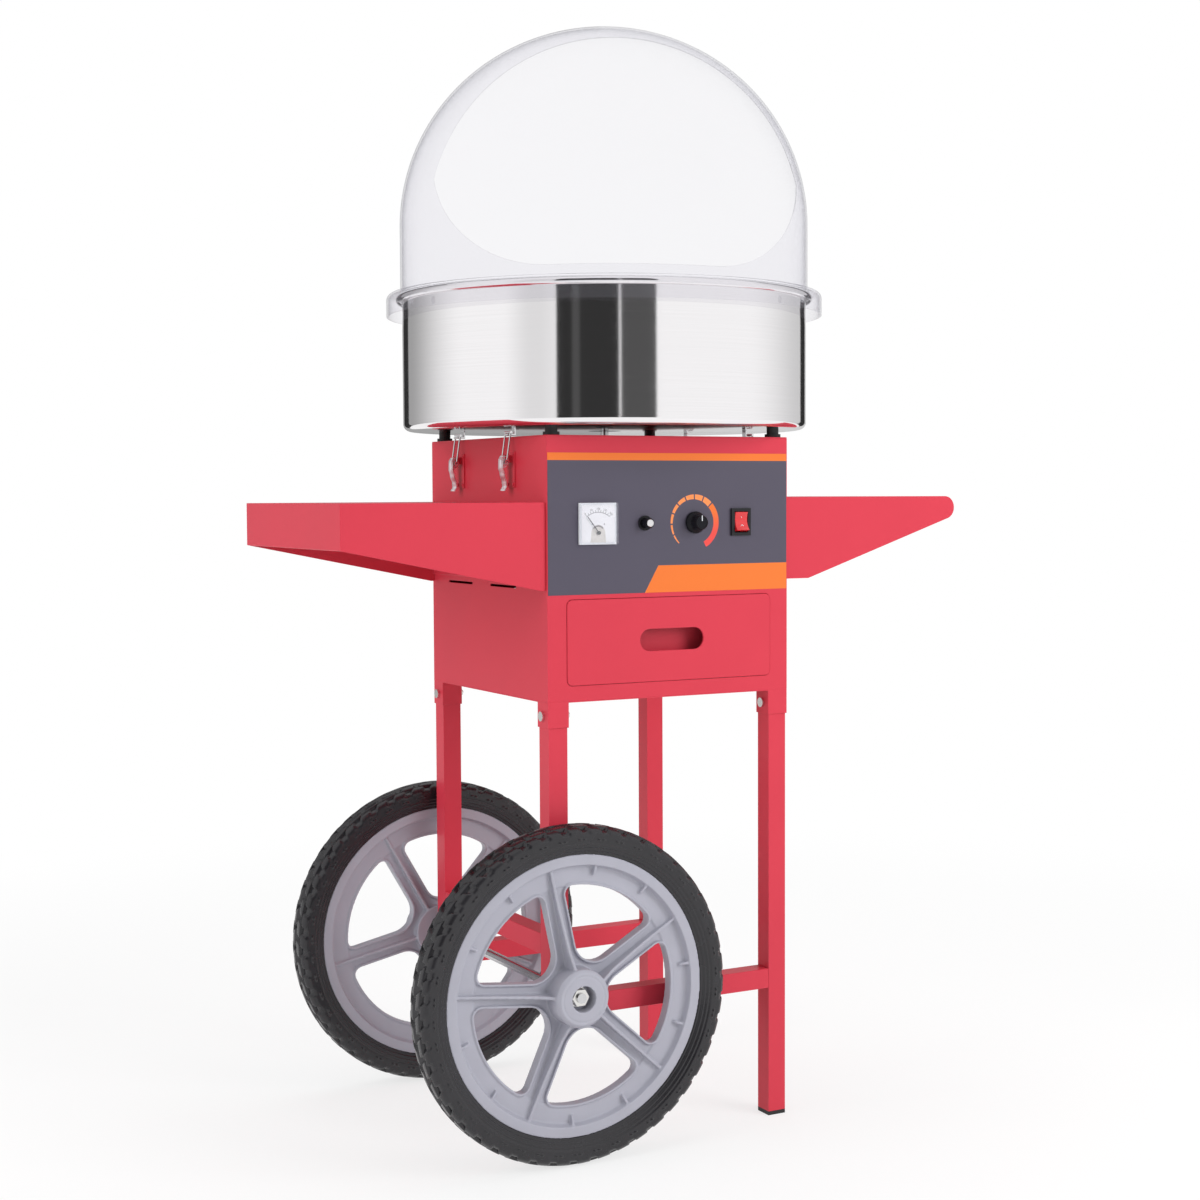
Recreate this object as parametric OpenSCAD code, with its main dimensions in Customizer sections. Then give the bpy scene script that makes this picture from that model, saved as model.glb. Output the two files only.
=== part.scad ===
// Cotton candy cart: a red cabinet on four legs, two spoked wheels, a steel bowl and a clear dome.
// Sizes are in millimetres. X runs to the right, Y to the back and Z up.
// The origin is on the ground under the middle of the whole cart, shelves included.

/* [Cabinet] */
// Width and depth of the cabinet
cabinet_side = 340; // [336:1:360]
// Height of the cabinet from its floor to its top
cabinet_height = 320; // [312:1:350]
// Height of the cabinet floor above the ground
cabinet_base = 547; // [500:1:640]
// Thickness of the sheet metal
sheet = 1.5; // [1:0.1:2]
// Height of the control panel skin
panel_height = 170; // [160:1:172]
// Distance from the panel skin's top edge to the cabinet top
panel_drop = 21; // [16:1:24]
// Thickness of the panel skin
panel_skin = 0.4; // [0.3:0.1:0.6]
// Length of the lower vent slots
vent_length = 74; // [60:1:80]
// Height of each vent slot
vent_height = 3; // [2:0.5:5]

/* [Stand] */
// Outer side of the square leg tube
tube = 25; // [22:0.5:28]
// Wall of the square tube
tube_wall = 1.5; // [1.2:0.1:2]
// Wall of the leg sockets under the cabinet
socket_wall = 1.2; // [1:0.1:1.5]
// Free space between a leg and its socket
socket_gap = 0.3; // [0.2:0.1:0.5]
// Length of the leg sockets
socket_length = 30; // [24:1:40]
// Thickness of the plastic foot
foot_thickness = 5; // [4:0.5:8]
// Height of the middle of the front and back stretchers
stretcher_height = 178; // [160:1:180]
// Height of the middle of the left stretcher
side_stretcher_height = 253; // [250:1:300]

/* [Wheels] */
// Radius of the tyre
wheel_radius = 203; // [195:1:210]
// Width of the tyre
tyre_width = 44; // [36:1:46]
// Radius where the tyre meets the rim
rim_radius = 169; // [160:1:172]
// Width of the rim
rim_width = 29; // [26:1:32]
// Radius of the hub
hub_radius = 34.7; // [32:0.1:38]
// Distance of the hub's outer face from the middle of the wheel
hub_reach = 32; // [28:1:34]
// Radius of the axle
axle_radius = 6; // [5:0.5:7]
// Distance of the wheel's middle from the face of the leg
wheel_offset = 32.5; // [31:0.5:36]
// Half of the width of a spoke
spoke_half = 14; // [12:0.5:16]

/* [Bowl and dome] */
// Outer radius of the bowl
bowl_radius = 260; // [250:1:270]
// Height of the bowl
bowl_height = 171; // [165:1:190]
// Thickness of the bowl metal
bowl_wall = 1.2; // [1:0.1:1.6]
// Height of the rubber mounts under the bowl
mount_height = 11; // [10.5:0.5:12]
// Thickness of the clear dome
dome_wall = 2.5; // [2:0.5:3.5]
// Height of the straight part of the dome above the bowl
dome_straight = 88; // [80:1:96]
// How much lower the crown of the dome is than a half ball
crown_flat = 10; // [6:1:12]
// Clear sheet left beside the hand opening, across the dome
opening_side = 35; // [34:1:50]
// Angle by which the hand opening turns from the front to the left side
opening_turn = 20.5; // [0:0.5:40]

/* [Shelves] */
// Reach of the left shelf from the cabinet side
left_reach = 258.5; // [220:0.5:300]
// Reach of the right shelf from the cabinet side
right_reach = 268.2; // [240:0.5:300]
// Height of the left shelf top above the cabinet floor
left_shelf_rise = 240; // [230:1:250]
// Height of the right shelf top above the cabinet floor
right_shelf_rise = 244.5; // [235:0.5:255]
// Distance of each shelf side from the cabinet front
shelf_inset = 3; // [2:0.5:10]
// Height of the left shelf's turned-down edge at its end
shelf_lip = 53.5; // [40:0.5:60]
// Height of the left shelf's sides at the cabinet
left_shelf_root = 105.5; // [90:0.5:110]
// How far the left shelf's flange on the wall reaches down from the shelf's top
left_flange = 96; // [60:1:98]
// Height of the right shelf's sides at the cabinet
right_shelf_root = 103.5; // [90:0.5:110]
// Roundness of the right shelf's end
shelf_tip = 15; // [12:0.5:18]

/* [Drawer] */
// Width of the drawer front
drawer_width = 288; // [270:1:292]
// Height of the drawer front
drawer_height = 103; // [96:1:104]
// Height of the drawer front's lower edge above the cabinet floor
drawer_rise = 20; // [14:1:20]
// Length of the drawer box
drawer_length = 288; // [270:1:300]
// Depth of the finger space behind the handle slot
finger_depth = 20; // [16:1:26]

/* [Controls] */
// Height of the control row above the cabinet floor
control_rise = 214; // [210:1:218]
// Side of the square meter
meter_side = 50; // [44:1:54]
// Depth of the meter cover
meter_depth = 12; // [10:0.5:14]
// Radius of the knob's skirt
knob_radius = 13.5; // [12:0.5:16]
// Depth of the knob
knob_depth = 18; // [15:0.5:20]

/* [Motor and head] */
// Radius of the motor
motor_radius = 43; // [38:1:48]
// Length of the motor
motor_length = 108; // [96:1:120]
// Radius of the head shaft
shaft_radius = 5; // [4:0.5:6]
// Radius of the spinning head
head_radius = 70; // [62:1:78]
// Height of the spinning head
head_height = 46; // [40:1:52]

/* [Clearances] */
// Gap between parts that slide past each other
slide_gap = 0.5; // [0.4:0.1:0.6]
// Gap between parts that only need to stay apart
free_gap = 0.3; // [0.3:0.05:0.4]
// Radial play of a shaft in its hole
run_gap = 0.05; // [0.04:0.01:0.08]
// Radial play of a part that is fastened on a round seat
seat_gap = 0.2; // [0.15:0.05:0.25]

/* [Hidden] */
$fn = 96;
e = 1;
half = cabinet_side / 2;
base_z = cabinet_base;
top_z = base_z + cabinet_height;
mid_x = (left_reach - right_reach) / 2;
leg_side = half - socket_wall - socket_gap - tube / 2;
leg_face = leg_side + tube / 2;
leg_inner = leg_side - tube / 2;
leg_top = base_z - e;
left_leg_foot = stretcher_height - tube / 2;
bolt_z = base_z - socket_length / 2 - 1;
wheel_mid = leg_face + wheel_offset;
bowl_z = top_z + mount_height;
rim_z = bowl_z + bowl_height;
mount_side = half - 13;
control_z = base_z + control_rise;
panel_top = top_z - panel_drop;
panel_low = panel_top - panel_height;
panel_face = half + panel_skin;
meter_x = -103;
fuse_x = -37;
knob_x = 34;
switch_x = 100;
drawer_low = base_z + drawer_rise;
drawer_proud = 1;
drawer_front_t = 3;
drawer_back_face = half + drawer_proud - drawer_front_t;
drawer_corner = 7;
box_half = drawer_width / 2 - 16;
box_low = drawer_low + 8;
box_tall = drawer_height - 33;
slot_z = drawer_low + 51;
latch_y = 75;
latch_pin_x = 10;
latch_pin_z = top_z - 26;
latch_arm = 5;
pin_r = 1.5;
dome_gap = 0.3;
dome_in_z = rim_z + dome_gap;
dome_r = bowl_radius + 2;
dome_rise = dome_r - crown_flat;
opening_half = bowl_radius - opening_side;
flange_r = dome_r + 18;
dome_spring_z = rim_z + dome_straight;
shoulder_r = dome_rise - 10;
shoulder_c = dome_r - shoulder_r;
cap_drop = (shoulder_c * shoulder_c - 100) / 20;
cap_r = dome_rise + cap_drop;
cap_c = dome_spring_z - cap_drop;
gate_r = 5;
shaft_top = rim_z - 40;
head_z = rim_z - 92;
motor_top = top_z - sheet - 5;
motor_low = motor_top - motor_length;

// Shared shapes

// Moves the cart so that the origin is under the middle of the two shelf ends.
module placed() {
  translate([-mid_shift(), 0, 0])
    children();
}

function mid_shift() = (right_reach - left_reach) / 2;

// A box given by its low and high corners.
module block(low, high) {
  translate(low)
    cube(high - low);
}

// A round bar along Y from one y to another.
module bar_y(x, z, y0, y1, r) {
  translate([x, y1, z])
    rotate([90, 0, 0])
      cylinder(h = y1 - y0, r = r);
}

// A round bar along X from one x to another.
module bar_x(y, z, x0, x1, r) {
  translate([x0, y, z])
    rotate([0, 90, 0])
      cylinder(h = x1 - x0, r = r);
}

// A side view outline in X and Z, made solid along Y about the middle.
module along_y(width) {
  translate([0, width / 2, 0])
    rotate([90, 0, 0])
      linear_extrude(height = width)
        children();
}

// A rectangle with round corners, its middle at the origin.
module round_rect(w, h, r) {
  union() {
    square([w - 2 * r, h], center = true);
    square([w, h - 2 * r], center = true);
    for (sx = [-1, 1])
      for (sy = [-1, 1])
        translate([sx * (w / 2 - r), sy * (h / 2 - r)])
          circle(r = r);
  }
}

// A slot outline with round ends, its middle at the origin.
module slot_shape(w, h) {
  union() {
    square([w - h, h], center = true);
    for (s = [-1, 1])
      translate([s * (w - h) / 2, 0])
        circle(r = h / 2);
  }
}

// An outline in X and Z cut or raised along Y, centred at x and z, from y0 to y1.
module front_shape(x, z, y0, y1) {
  translate([x, y1, z])
    rotate([90, 0, 0])
      linear_extrude(height = y1 - y0)
        children();
}

// Square tube along Z between two heights.
module post(x, y, z0, z1) {
  translate([x, y, z0])
    difference() {
      translate([-tube / 2, -tube / 2, 0])
        cube([tube, tube, z1 - z0]);
      translate([tube_wall - tube / 2, tube_wall - tube / 2, -e])
        cube([tube - 2 * tube_wall, tube - 2 * tube_wall, z1 - z0 + 2 * e]);
    }
}

// Cabinet

module cabinet_shell() color([0.78, 0.06, 0.1]) placed()
  difference() {
    block([-half, -half, base_z + sheet], [half, half, top_z - sheet]);
    block([sheet - half, sheet - half, base_z], [half - sheet, half - sheet, top_z]);
    front_shape(0, drawer_low + drawer_height / 2, -half - e, sheet - half + e)
      round_rect(drawer_width + 2 * slide_gap, drawer_height + 2 * slide_gap, drawer_corner + slide_gap);
    bar_y(meter_x, control_z, -half - e, sheet - half + e, meter_hole());
    bar_y(fuse_x, control_z, -half - e, sheet - half + e, fuse_barrel + seat_gap);
    bar_y(knob_x, control_z, -half - e, sheet - half + e, bushing_r + seat_gap);
    block([switch_x - switch_w / 2 - seat_gap, -half - e, control_z - switch_h / 2 - seat_gap],
      [switch_x + switch_w / 2 + seat_gap, sheet - half + e, control_z + switch_h / 2 + seat_gap]);
    for (s = [-1, 1])
      for (y = [43.5, -84.5])
        block([s * (half - sheet / 2) - sheet, y, base_z + 136 - vent_height / 2],
          [s * (half - sheet / 2) + sheet, y + vent_length, base_z + 136 + vent_height / 2]);
    bar_y(90, base_z + 40, half - sheet - e, half + e, gland_r + seat_gap);
    for (k = [0 : 5])
      block([-60, half - sheet - e, base_z + 60 + 12 * k - vent_height / 2],
        [60, half + e, base_z + 60 + 12 * k + vent_height / 2]);
  }

module top_plate() color([0.78, 0.06, 0.1]) placed()
  difference() {
    block([-half, -half, top_z - sheet], [half, half, top_z]);
    translate([0, 0, top_z - sheet - e])
      cylinder(h = sheet + 2 * e, r = motor_boss + 2);
  }

module socket(x, y) {
  outer = tube / 2 + socket_gap + socket_wall;
  inner = tube / 2 + socket_gap;
  difference() {
    block([x - outer, y - outer, base_z - socket_length], [x + outer, y + outer, base_z]);
    block([x - inner, y - inner, base_z - socket_length - e], [x + inner, y + inner, base_z + e]);
    bar_x(y, bolt_z, x - outer - e, x + outer + e, bolt_r + seat_gap);
  }
}

module base_frame() color([0.74, 0.05, 0.09]) placed()
  union() {
    block([-half, -half, base_z], [half, half, base_z + sheet]);
    for (sx = [-1, 1])
      for (sy = [-1, 1])
        socket(sx * leg_side, sy * leg_side);
  }

module control_overlay() color([0.38, 0.37, 0.43]) placed()
  difference() {
    block([1 - half, -panel_face, panel_low], [half - 1, -half, panel_top]);
    bar_y(meter_x, control_z, -panel_face - e, -half + e, meter_hole());
    bar_y(fuse_x, control_z, -panel_face - e, -half + e, fuse_barrel + seat_gap);
    bar_y(knob_x, control_z, -panel_face - e, -half + e, bushing_r + seat_gap);
    block([switch_x - switch_w / 2 - seat_gap, -panel_face - e, control_z - switch_h / 2 - seat_gap],
      [switch_x + switch_w / 2 + seat_gap, -half + e, control_z + switch_h / 2 + seat_gap]);
  }

// Drawer

module drawer_front() color([0.82, 0.1, 0.16]) placed()
  difference() {
    front_shape(0, drawer_low + drawer_height / 2, -half - drawer_proud, -drawer_back_face)
      round_rect(drawer_width, drawer_height, drawer_corner);
    front_shape(1, slot_z, -half - drawer_proud - e, -drawer_back_face + e)
      slot_shape(90, 27);
  }

module drawer_box() color([0.74, 0.09, 0.14]) placed()
  difference() {
    block([-box_half, -drawer_back_face, box_low], [box_half, drawer_length - drawer_back_face, box_low + box_tall]);
    block([sheet - box_half, finger_depth + sheet - drawer_back_face, box_low + sheet],
      [box_half - sheet, drawer_length - drawer_back_face - sheet, box_low + box_tall + e]);
    block([sheet - box_half, -drawer_back_face - e, box_low - e],
      [box_half - sheet, finger_depth - drawer_back_face, box_low + box_tall + e]);
  }

module runner(s) {
  inner = box_half + slide_gap;
  depth = drawer_length - 40;
  y0 = 24 - half;
  low = min(s * inner, s * (inner + sheet));
  lip = min(s * (inner - 12), s * (inner + sheet));
  foot = min(s * inner, s * (inner + 18));
  union() {
    block([low, y0, base_z + sheet], [low + sheet, y0 + depth, box_low + box_tall + slide_gap + sheet]);
    block([lip, y0, box_low - slide_gap - sheet], [lip + 12 + sheet, y0 + depth, box_low - slide_gap]);
    block([lip, y0, box_low + box_tall + slide_gap],
      [lip + 12 + sheet, y0 + depth, box_low + box_tall + slide_gap + sheet]);
    block([foot, y0, base_z + sheet], [foot + 18, y0 + depth, base_z + 2 * sheet]);
  }
}

module drawer_runners() color([0.66, 0.67, 0.68]) placed()
  union() {
    runner(-1);
    runner(1);
  }

// Meter

meter_barrel = 19;
function meter_hole() = meter_barrel + seat_gap;
meter_base = 3;
meter_pivot_z = -11;
staff_r = 1;

module meter_body() color([0.1, 0.1, 0.11]) placed()
  difference() {
    union() {
      block([meter_x - meter_side / 2, -panel_face - meter_base, control_z - meter_side / 2],
        [meter_x + meter_side / 2, -panel_face, control_z + meter_side / 2]);
      bar_y(meter_x, control_z, -panel_face - meter_base / 2, 26 - half, meter_barrel);
      for (s = [-1, 1])
        bar_y(meter_x + 10 * s, control_z, 25 - half, 36 - half, 2.5);
    }
    bar_y(meter_x, control_z + meter_pivot_z, -panel_face - meter_base - e, 6 - half, staff_r + run_gap);
  }

module meter_dial() color([0.93, 0.93, 0.94]) placed()
  difference() {
    block([meter_x - meter_side / 2 + 2.5, -panel_face - meter_base - 0.6, control_z - meter_side / 2 + 2.5],
      [meter_x + meter_side / 2 - 2.5, -panel_face - meter_base, control_z + meter_side / 2 - 2.5]);
    bar_y(meter_x, control_z + meter_pivot_z, -panel_face - meter_base - e, -panel_face, staff_r + 1);
  }

module meter_cover() color([0.85, 0.9, 0.95, 0.35]) placed()
  difference() {
    block([meter_x - meter_side / 2, -panel_face - meter_depth, control_z - meter_side / 2],
      [meter_x + meter_side / 2, -panel_face - meter_base, control_z + meter_side / 2]);
    block([meter_x - meter_side / 2 + 2, -panel_face - meter_depth + 1.5, control_z - meter_side / 2 + 2],
      [meter_x + meter_side / 2 - 2, -panel_face - meter_base + e, control_z + meter_side / 2 - 2]);
  }

module meter_needle() color([0.1, 0.1, 0.12]) placed()
  translate([meter_x, 0, control_z + meter_pivot_z])
    union() {
      bar_y(0, 0, -panel_face - meter_base - 4, 5 - half, staff_r);
      bar_y(0, 0, -panel_face - meter_base - 3.5, -panel_face - meter_base - 1.5, 2.2);
      rotate([0, -38, 0])
        block([-0.4, -panel_face - meter_base - 2.8, 0], [0.4, -panel_face - meter_base - 2.2, 24]);
    }

// Fuse holder

fuse_barrel = 6.2;
fuse_flange = 9;

module fuse_holder() color([0.09, 0.09, 0.1]) placed()
  difference() {
    union() {
      bar_y(fuse_x, control_z, -panel_face, 34 - half, fuse_barrel);
      bar_y(fuse_x, control_z, -panel_face - 2, -panel_face, fuse_flange);
      front_shape(fuse_x, control_z, sheet - half, sheet - half + 4)
        circle(r = 9.5, $fn = 6);
    }
    bar_y(fuse_x, control_z, -panel_face - 2 - e, 30 - half, fuse_pin_r + run_gap);
  }

fuse_pin_r = 3.6;

module fuse_cap() color([0.07, 0.07, 0.08]) placed()
  union() {
    bar_y(fuse_x, control_z, -panel_face - 13, -panel_face - 2 - free_gap, 6.6);
    bar_y(fuse_x, control_z, -panel_face - 15, -panel_face - 12.5, 4.6);
    bar_y(fuse_x, control_z, -panel_face - 3, 28 - half, fuse_pin_r);
  }

// Heat control and switch

bushing_r = 4.5;
knob_shaft_r = 3;

module speed_control() color([0.16, 0.16, 0.18]) placed()
  difference() {
    union() {
      block([knob_x - 19, sheet - half + 3, control_z - 19], [knob_x + 19, sheet - half + 23, control_z + 19]);
      bar_y(knob_x, control_z, -panel_face - 1.5, sheet - half + 4, bushing_r);
      front_shape(knob_x, control_z, sheet - half, sheet - half + 3.2)
        circle(r = 8, $fn = 6);
    }
    bar_y(knob_x, control_z, -panel_face - 2 - e, 16 - half, knob_shaft_r + run_gap);
  }

module control_knob() color([0.08, 0.08, 0.09]) placed()
  union() {
    difference() {
      union() {
        bar_y(knob_x, control_z, -panel_face - 7, -panel_face - free_gap, knob_radius);
        bar_y(knob_x, control_z, -panel_face - knob_depth, -panel_face - 6.5, knob_radius - 4.3);
      }
      bar_y(knob_x, control_z, -panel_face - 3, -panel_face + e, bushing_r + 1);
    }
    bar_y(knob_x, control_z, -panel_face - 5, 14 - half, knob_shaft_r);
    block([knob_x - 0.8, -panel_face - knob_depth - 0.5, control_z + 1],
      [knob_x + 0.8, -panel_face - knob_depth + 1, control_z + knob_radius - 4.6]);
  }

switch_w = 24;
switch_h = 29;
bezel_w = 28;
bezel_h = 34;
rocker_w = 18;
rocker_h = 24;

module switch_bezel() color([0.06, 0.06, 0.07]) placed()
  difference() {
    union() {
      block([switch_x - bezel_w / 2, -panel_face - 3, control_z - bezel_h / 2],
        [switch_x + bezel_w / 2, -panel_face, control_z + bezel_h / 2]);
      block([switch_x - switch_w / 2, -panel_face - e, control_z - switch_h / 2],
        [switch_x + switch_w / 2, 24 - half, control_z + switch_h / 2]);
      for (k = [-1, 1])
        for (s = [-1, 1])
          block([switch_x + 5 * s - 0.4, 23 - half, control_z + 7 * k - 3],
            [switch_x + 5 * s + 0.4, 32 - half, control_z + 7 * k + 3]);
    }
    block([switch_x - rocker_w / 2 - slide_gap, -panel_face - 3 - e, control_z - rocker_h / 2 - 1.2],
      [switch_x + rocker_w / 2 + slide_gap, 16 - half, control_z + rocker_h / 2 + 1.2]);
    bar_x(-panel_face - 1, control_z, switch_x - 11, switch_x + 11, pin_r + run_gap);
  }

module switch_rocker() color([0.8, 0.05, 0.07]) placed()
  translate([switch_x, -panel_face - 1, control_z])
    rotate([-10, 0, 0])
      union() {
        rotate([90, 0, 90])
          translate([0, 0, -rocker_w / 2])
            linear_extrude(height = rocker_w)
              polygon([[-5.6, 11.4], [-1.6, 0], [-5.6, -11.4], [0.5, -12], [8, -5], [8, 5], [0.5, 12]]);
        bar_x(0, 0, -10.6, 10.6, pin_r);
      }

module circuit_board() color([0.1, 0.35, 0.18]) placed()
  union() {
    block([sheet - half + 8, -50, base_z + 180], [sheet - half + 9.6, 50, base_z + 260]);
    for (y = [-42, 42])
      for (z = [base_z + 188, base_z + 252])
        bar_x(y, z, sheet - half, sheet - half + 8, 3);
    block([sheet - half + 9.6, -30, base_z + 200], [sheet - half + 32, -6, base_z + 226]);
    block([sheet - half + 9.6, 6, base_z + 196], [sheet - half + 24, 34, base_z + 212]);
    bar_x(20, base_z + 236, sheet - half + 9.6, sheet - half + 34, 9);
  }

gland_r = 8;

module cable_gland() color([0.08, 0.08, 0.09]) placed()
  difference() {
    union() {
      bar_y(90, base_z + 40, half - sheet - 10, half + 20, gland_r);
      front_shape(90, base_z + 40, half, half + 5)
        circle(r = 13, $fn = 6);
      bar_y(90, base_z + 40, half + 5, half + 14, 11);
      front_shape(90, base_z + 40, half - sheet - 5, half - sheet)
        circle(r = 12, $fn = 6);
    }
    bar_y(90, base_z + 40, half - sheet - 11, half + 21, 4);
  }

// Motor and spinning head

motor_boss = 11;

module motor() color([0.2, 0.2, 0.22]) placed()
  difference() {
    union() {
      translate([0, 0, motor_low])
        cylinder(h = motor_length, r = motor_radius);
      translate([0, 0, motor_top - e])
        cylinder(h = 8 + e, r = motor_boss);
      for (z = [motor_low + 14, motor_top - 20])
        translate([0, 0, z])
          cylinder(h = 6, r = motor_radius + 2);
    }
    translate([0, 0, motor_low - e])
      cylinder(h = motor_length + 12, r = shaft_radius + run_gap);
  }

module motor_bracket() color([0.66, 0.67, 0.68]) placed()
  difference() {
    union() {
      translate([0, 0, motor_top])
        cylinder(h = 5, r = motor_radius + 22);
      for (a = [45 : 90 : 315])
        rotate([0, 0, a])
          translate([motor_radius + 12, 0, motor_top - 6])
            cylinder(h = 7, r = 5);
    }
    translate([0, 0, motor_top - e])
      cylinder(h = 5 + 2 * e, r = motor_boss + seat_gap);
  }

module rubber_mounts() color([0.06, 0.06, 0.06]) placed()
  for (sx = [-1, 1])
    for (sy = [-1, 1])
      translate([sx * mount_side, sy * mount_side, top_z]) {
        cylinder(h = 4, r = 10);
        translate([0, 0, 3])
          cylinder(h = mount_height - 3, r = 7.5);
      }

ring_r = 14;

module brush_block() color([0.35, 0.2, 0.12]) placed()
  union() {
    block([ring_r + 6, -11, motor_low - 40], [ring_r + 18, 11, motor_low]);
    for (k = [0, 1])
      bar_x(0, motor_low - 12 - 16 * k, ring_r + free_gap, ring_r + 7, 3);
  }

module head_shaft() color([0.75, 0.75, 0.77]) placed()
  translate([0, 0, motor_low - 44])
    cylinder(h = shaft_top - motor_low + 44, r = shaft_radius);

module slip_rings() color([0.72, 0.5, 0.22]) placed()
  difference() {
    union() {
      translate([0, 0, motor_low - 40])
        cylinder(h = 38, r = ring_r - 3);
      for (k = [0, 1])
        translate([0, 0, motor_low - 17 - 16 * k])
          cylinder(h = 10, r = ring_r);
    }
    translate([0, 0, motor_low - 41])
      cylinder(h = 41, r = shaft_radius + run_gap);
  }

module head_pan() color([0.8, 0.8, 0.82]) placed()
  difference() {
    translate([0, 0, head_z])
      rotate_extrude()
        polygon([[shaft_radius + run_gap, -14], [14, -14], [14, 0], [head_radius, 0], [head_radius, 14],
          [head_radius - 2, 14], [head_radius - 2, 2], [head_radius - 18, 2], [22, 9], [shaft_radius + run_gap, 9]]);
    for (a = [0 : 60 : 300])
      rotate([0, 0, a])
        translate([40, 0, head_z - e])
          cylinder(h = 12, r = 3);
  }

module heater_ring() color([0.35, 0.32, 0.3]) placed()
  union() {
    for (k = [0 : 2])
      translate([0, 0, head_z + 19 + 6 * k])
        rotate_extrude()
          translate([head_radius - 9, 0])
            circle(r = 2, $fn = 24);
    for (a = [30 : 60 : 330])
      rotate([0, 0, a])
        translate([head_radius - 9, 0, head_z + 2])
          cylinder(h = 31, r = 1.5);
  }

module head_mesh() color([0.82, 0.82, 0.84]) placed()
  difference() {
    translate([0, 0, head_z + 14])
      difference() {
        cylinder(h = head_height - 16, r = head_radius);
        translate([0, 0, -e])
          cylinder(h = head_height, r = head_radius - 1);
      }
    for (a = [0 : 30 : 330])
      rotate([0, 0, a])
        for (k = [0 : 3])
          block([head_radius - 4, -12, head_z + 18 + 6 * k], [head_radius + 4, 12, head_z + 19.5 + 6 * k]);
  }

module head_lid() color([0.8, 0.8, 0.82]) placed()
  difference() {
    translate([0, 0, head_z + head_height - 2])
      rotate_extrude()
        polygon([[26, 3.5], [28, 3.5], [34, 0], [head_radius, 0], [head_radius, 2], [35, 2], [29, 6], [26, 6]]);
  }

// Bowl

bowl_corner = 9;
roll_r = 4;

module bowl() color([0.75, 0.75, 0.77]) placed()
  translate([0, 0, bowl_z])
    union() {
      rotate_extrude() {
        difference() {
          union() {
            square([bowl_radius - bowl_corner, bowl_wall]);
            translate([bowl_radius - bowl_wall, bowl_corner])
              square([bowl_wall, bowl_height - bowl_corner - roll_r]);
            translate([bowl_radius - bowl_corner, bowl_corner])
              intersection() {
                difference() {
                  circle(r = bowl_corner);
                  circle(r = bowl_corner - bowl_wall);
                }
                translate([0, -bowl_corner])
                  square([bowl_corner, bowl_corner]);
              }
          }
          square([22, 3], center = false);
        }
        translate([20.8, 0])
          square([bowl_wall, 26]);
        translate([20.8, 0])
          square([3, bowl_wall]);
      }
      rotate_extrude()
        translate([bowl_radius - bowl_wall / 2 + roll_r, bowl_height - roll_r])
          difference() {
            circle(r = roll_r);
            circle(r = roll_r - bowl_wall);
          }
    }

// Latches. A latch is drawn on the left wall; the right ones are turned half round.

module at_latch(side, y) {
  rotate([0, 0, side > 0 ? 180 : 0])
    translate([-half, side > 0 ? -y : y, 0])
      children();
}

module catch_shape() {
  low = bowl_z - 9.5;
  union() {
    block([-9, -4, low], [4, 4, low + 2]);
    block([2, -4, low], [4, 4, bowl_z]);
  }
}

module bowl_catches() color([0.7, 0.7, 0.72]) placed()
  for (side = [-1, 1])
    for (y = [-latch_y, latch_y])
      at_latch(side, y)
        catch_shape();

module base_shape() {
  union() {
    block([-1.5, -11, top_z - 62], [0, 11, top_z - 18]);
    block([-12.5, -3, latch_pin_z - 5], [-1, 3, latch_pin_z + 3.5]);
    bar_y(-latch_pin_x, latch_pin_z, -5.1, 5.1, pin_r);
    for (s = [-1, 1])
      bar_x(7.5 * s, top_z - 22, -2.6, -1, 2);
    for (s = [-1, 1])
      bar_x(7.5 * s, top_z - 58, -2.6, -1, 2);
  }
}

module latch_bases() color([0.72, 0.72, 0.74]) placed()
  for (side = [-1, 1])
    for (y = [-latch_y, latch_y])
      at_latch(side, y)
        base_shape();

module lever_shape() {
  zp = latch_pin_z;
  difference() {
    union() {
      for (s = [-1, 1])
        block([-17, 4.05 * s - 0.75, zp - 12], [-6.5, 4.05 * s + 0.75, zp + 4]);
      block([-17.5, -4.8, zp - 31], [-16, 4.8, zp + 4]);
      translate([-16.75, 0, zp - 31])
        rotate([0, 20, 0])
          block([-0.75, -4.8, -8], [0.75, 4.8, 0.3]);
      for (s = [-1, 1])
        bar_y(-latch_pin_x, zp - latch_arm, 6.7 * s - 2.3, 6.7 * s + 2.3, pin_r);
    }
    bar_y(-latch_pin_x, zp, -6, 6, pin_r + run_gap);
  }
}

module bail_shape() {
  zp = latch_pin_z - latch_arm;
  rise = bowl_z - 5.6 - zp;
  lean = atan2(latch_pin_x - 4.5, rise);
  reach = sqrt(rise * rise + (latch_pin_x - 4.5) * (latch_pin_x - 4.5));
  union() {
    for (s = [-1, 1]) {
      difference() {
        bar_y(-latch_pin_x, zp, 7.25 * s - 1.25, 7.25 * s + 1.25, 3);
        bar_y(-latch_pin_x, zp, 7.25 * s - 2, 7.25 * s + 2, pin_r + run_gap);
      }
      translate([-latch_pin_x, 7.25 * s, zp])
        rotate([0, lean, 0])
          translate([0, 0, 2.3])
            cylinder(h = reach - 2.3, r = 1.2, $fn = 32);
    }
    bar_y(-4.5, zp + rise, -8.75, 8.75, pin_r);
  }
}

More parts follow.
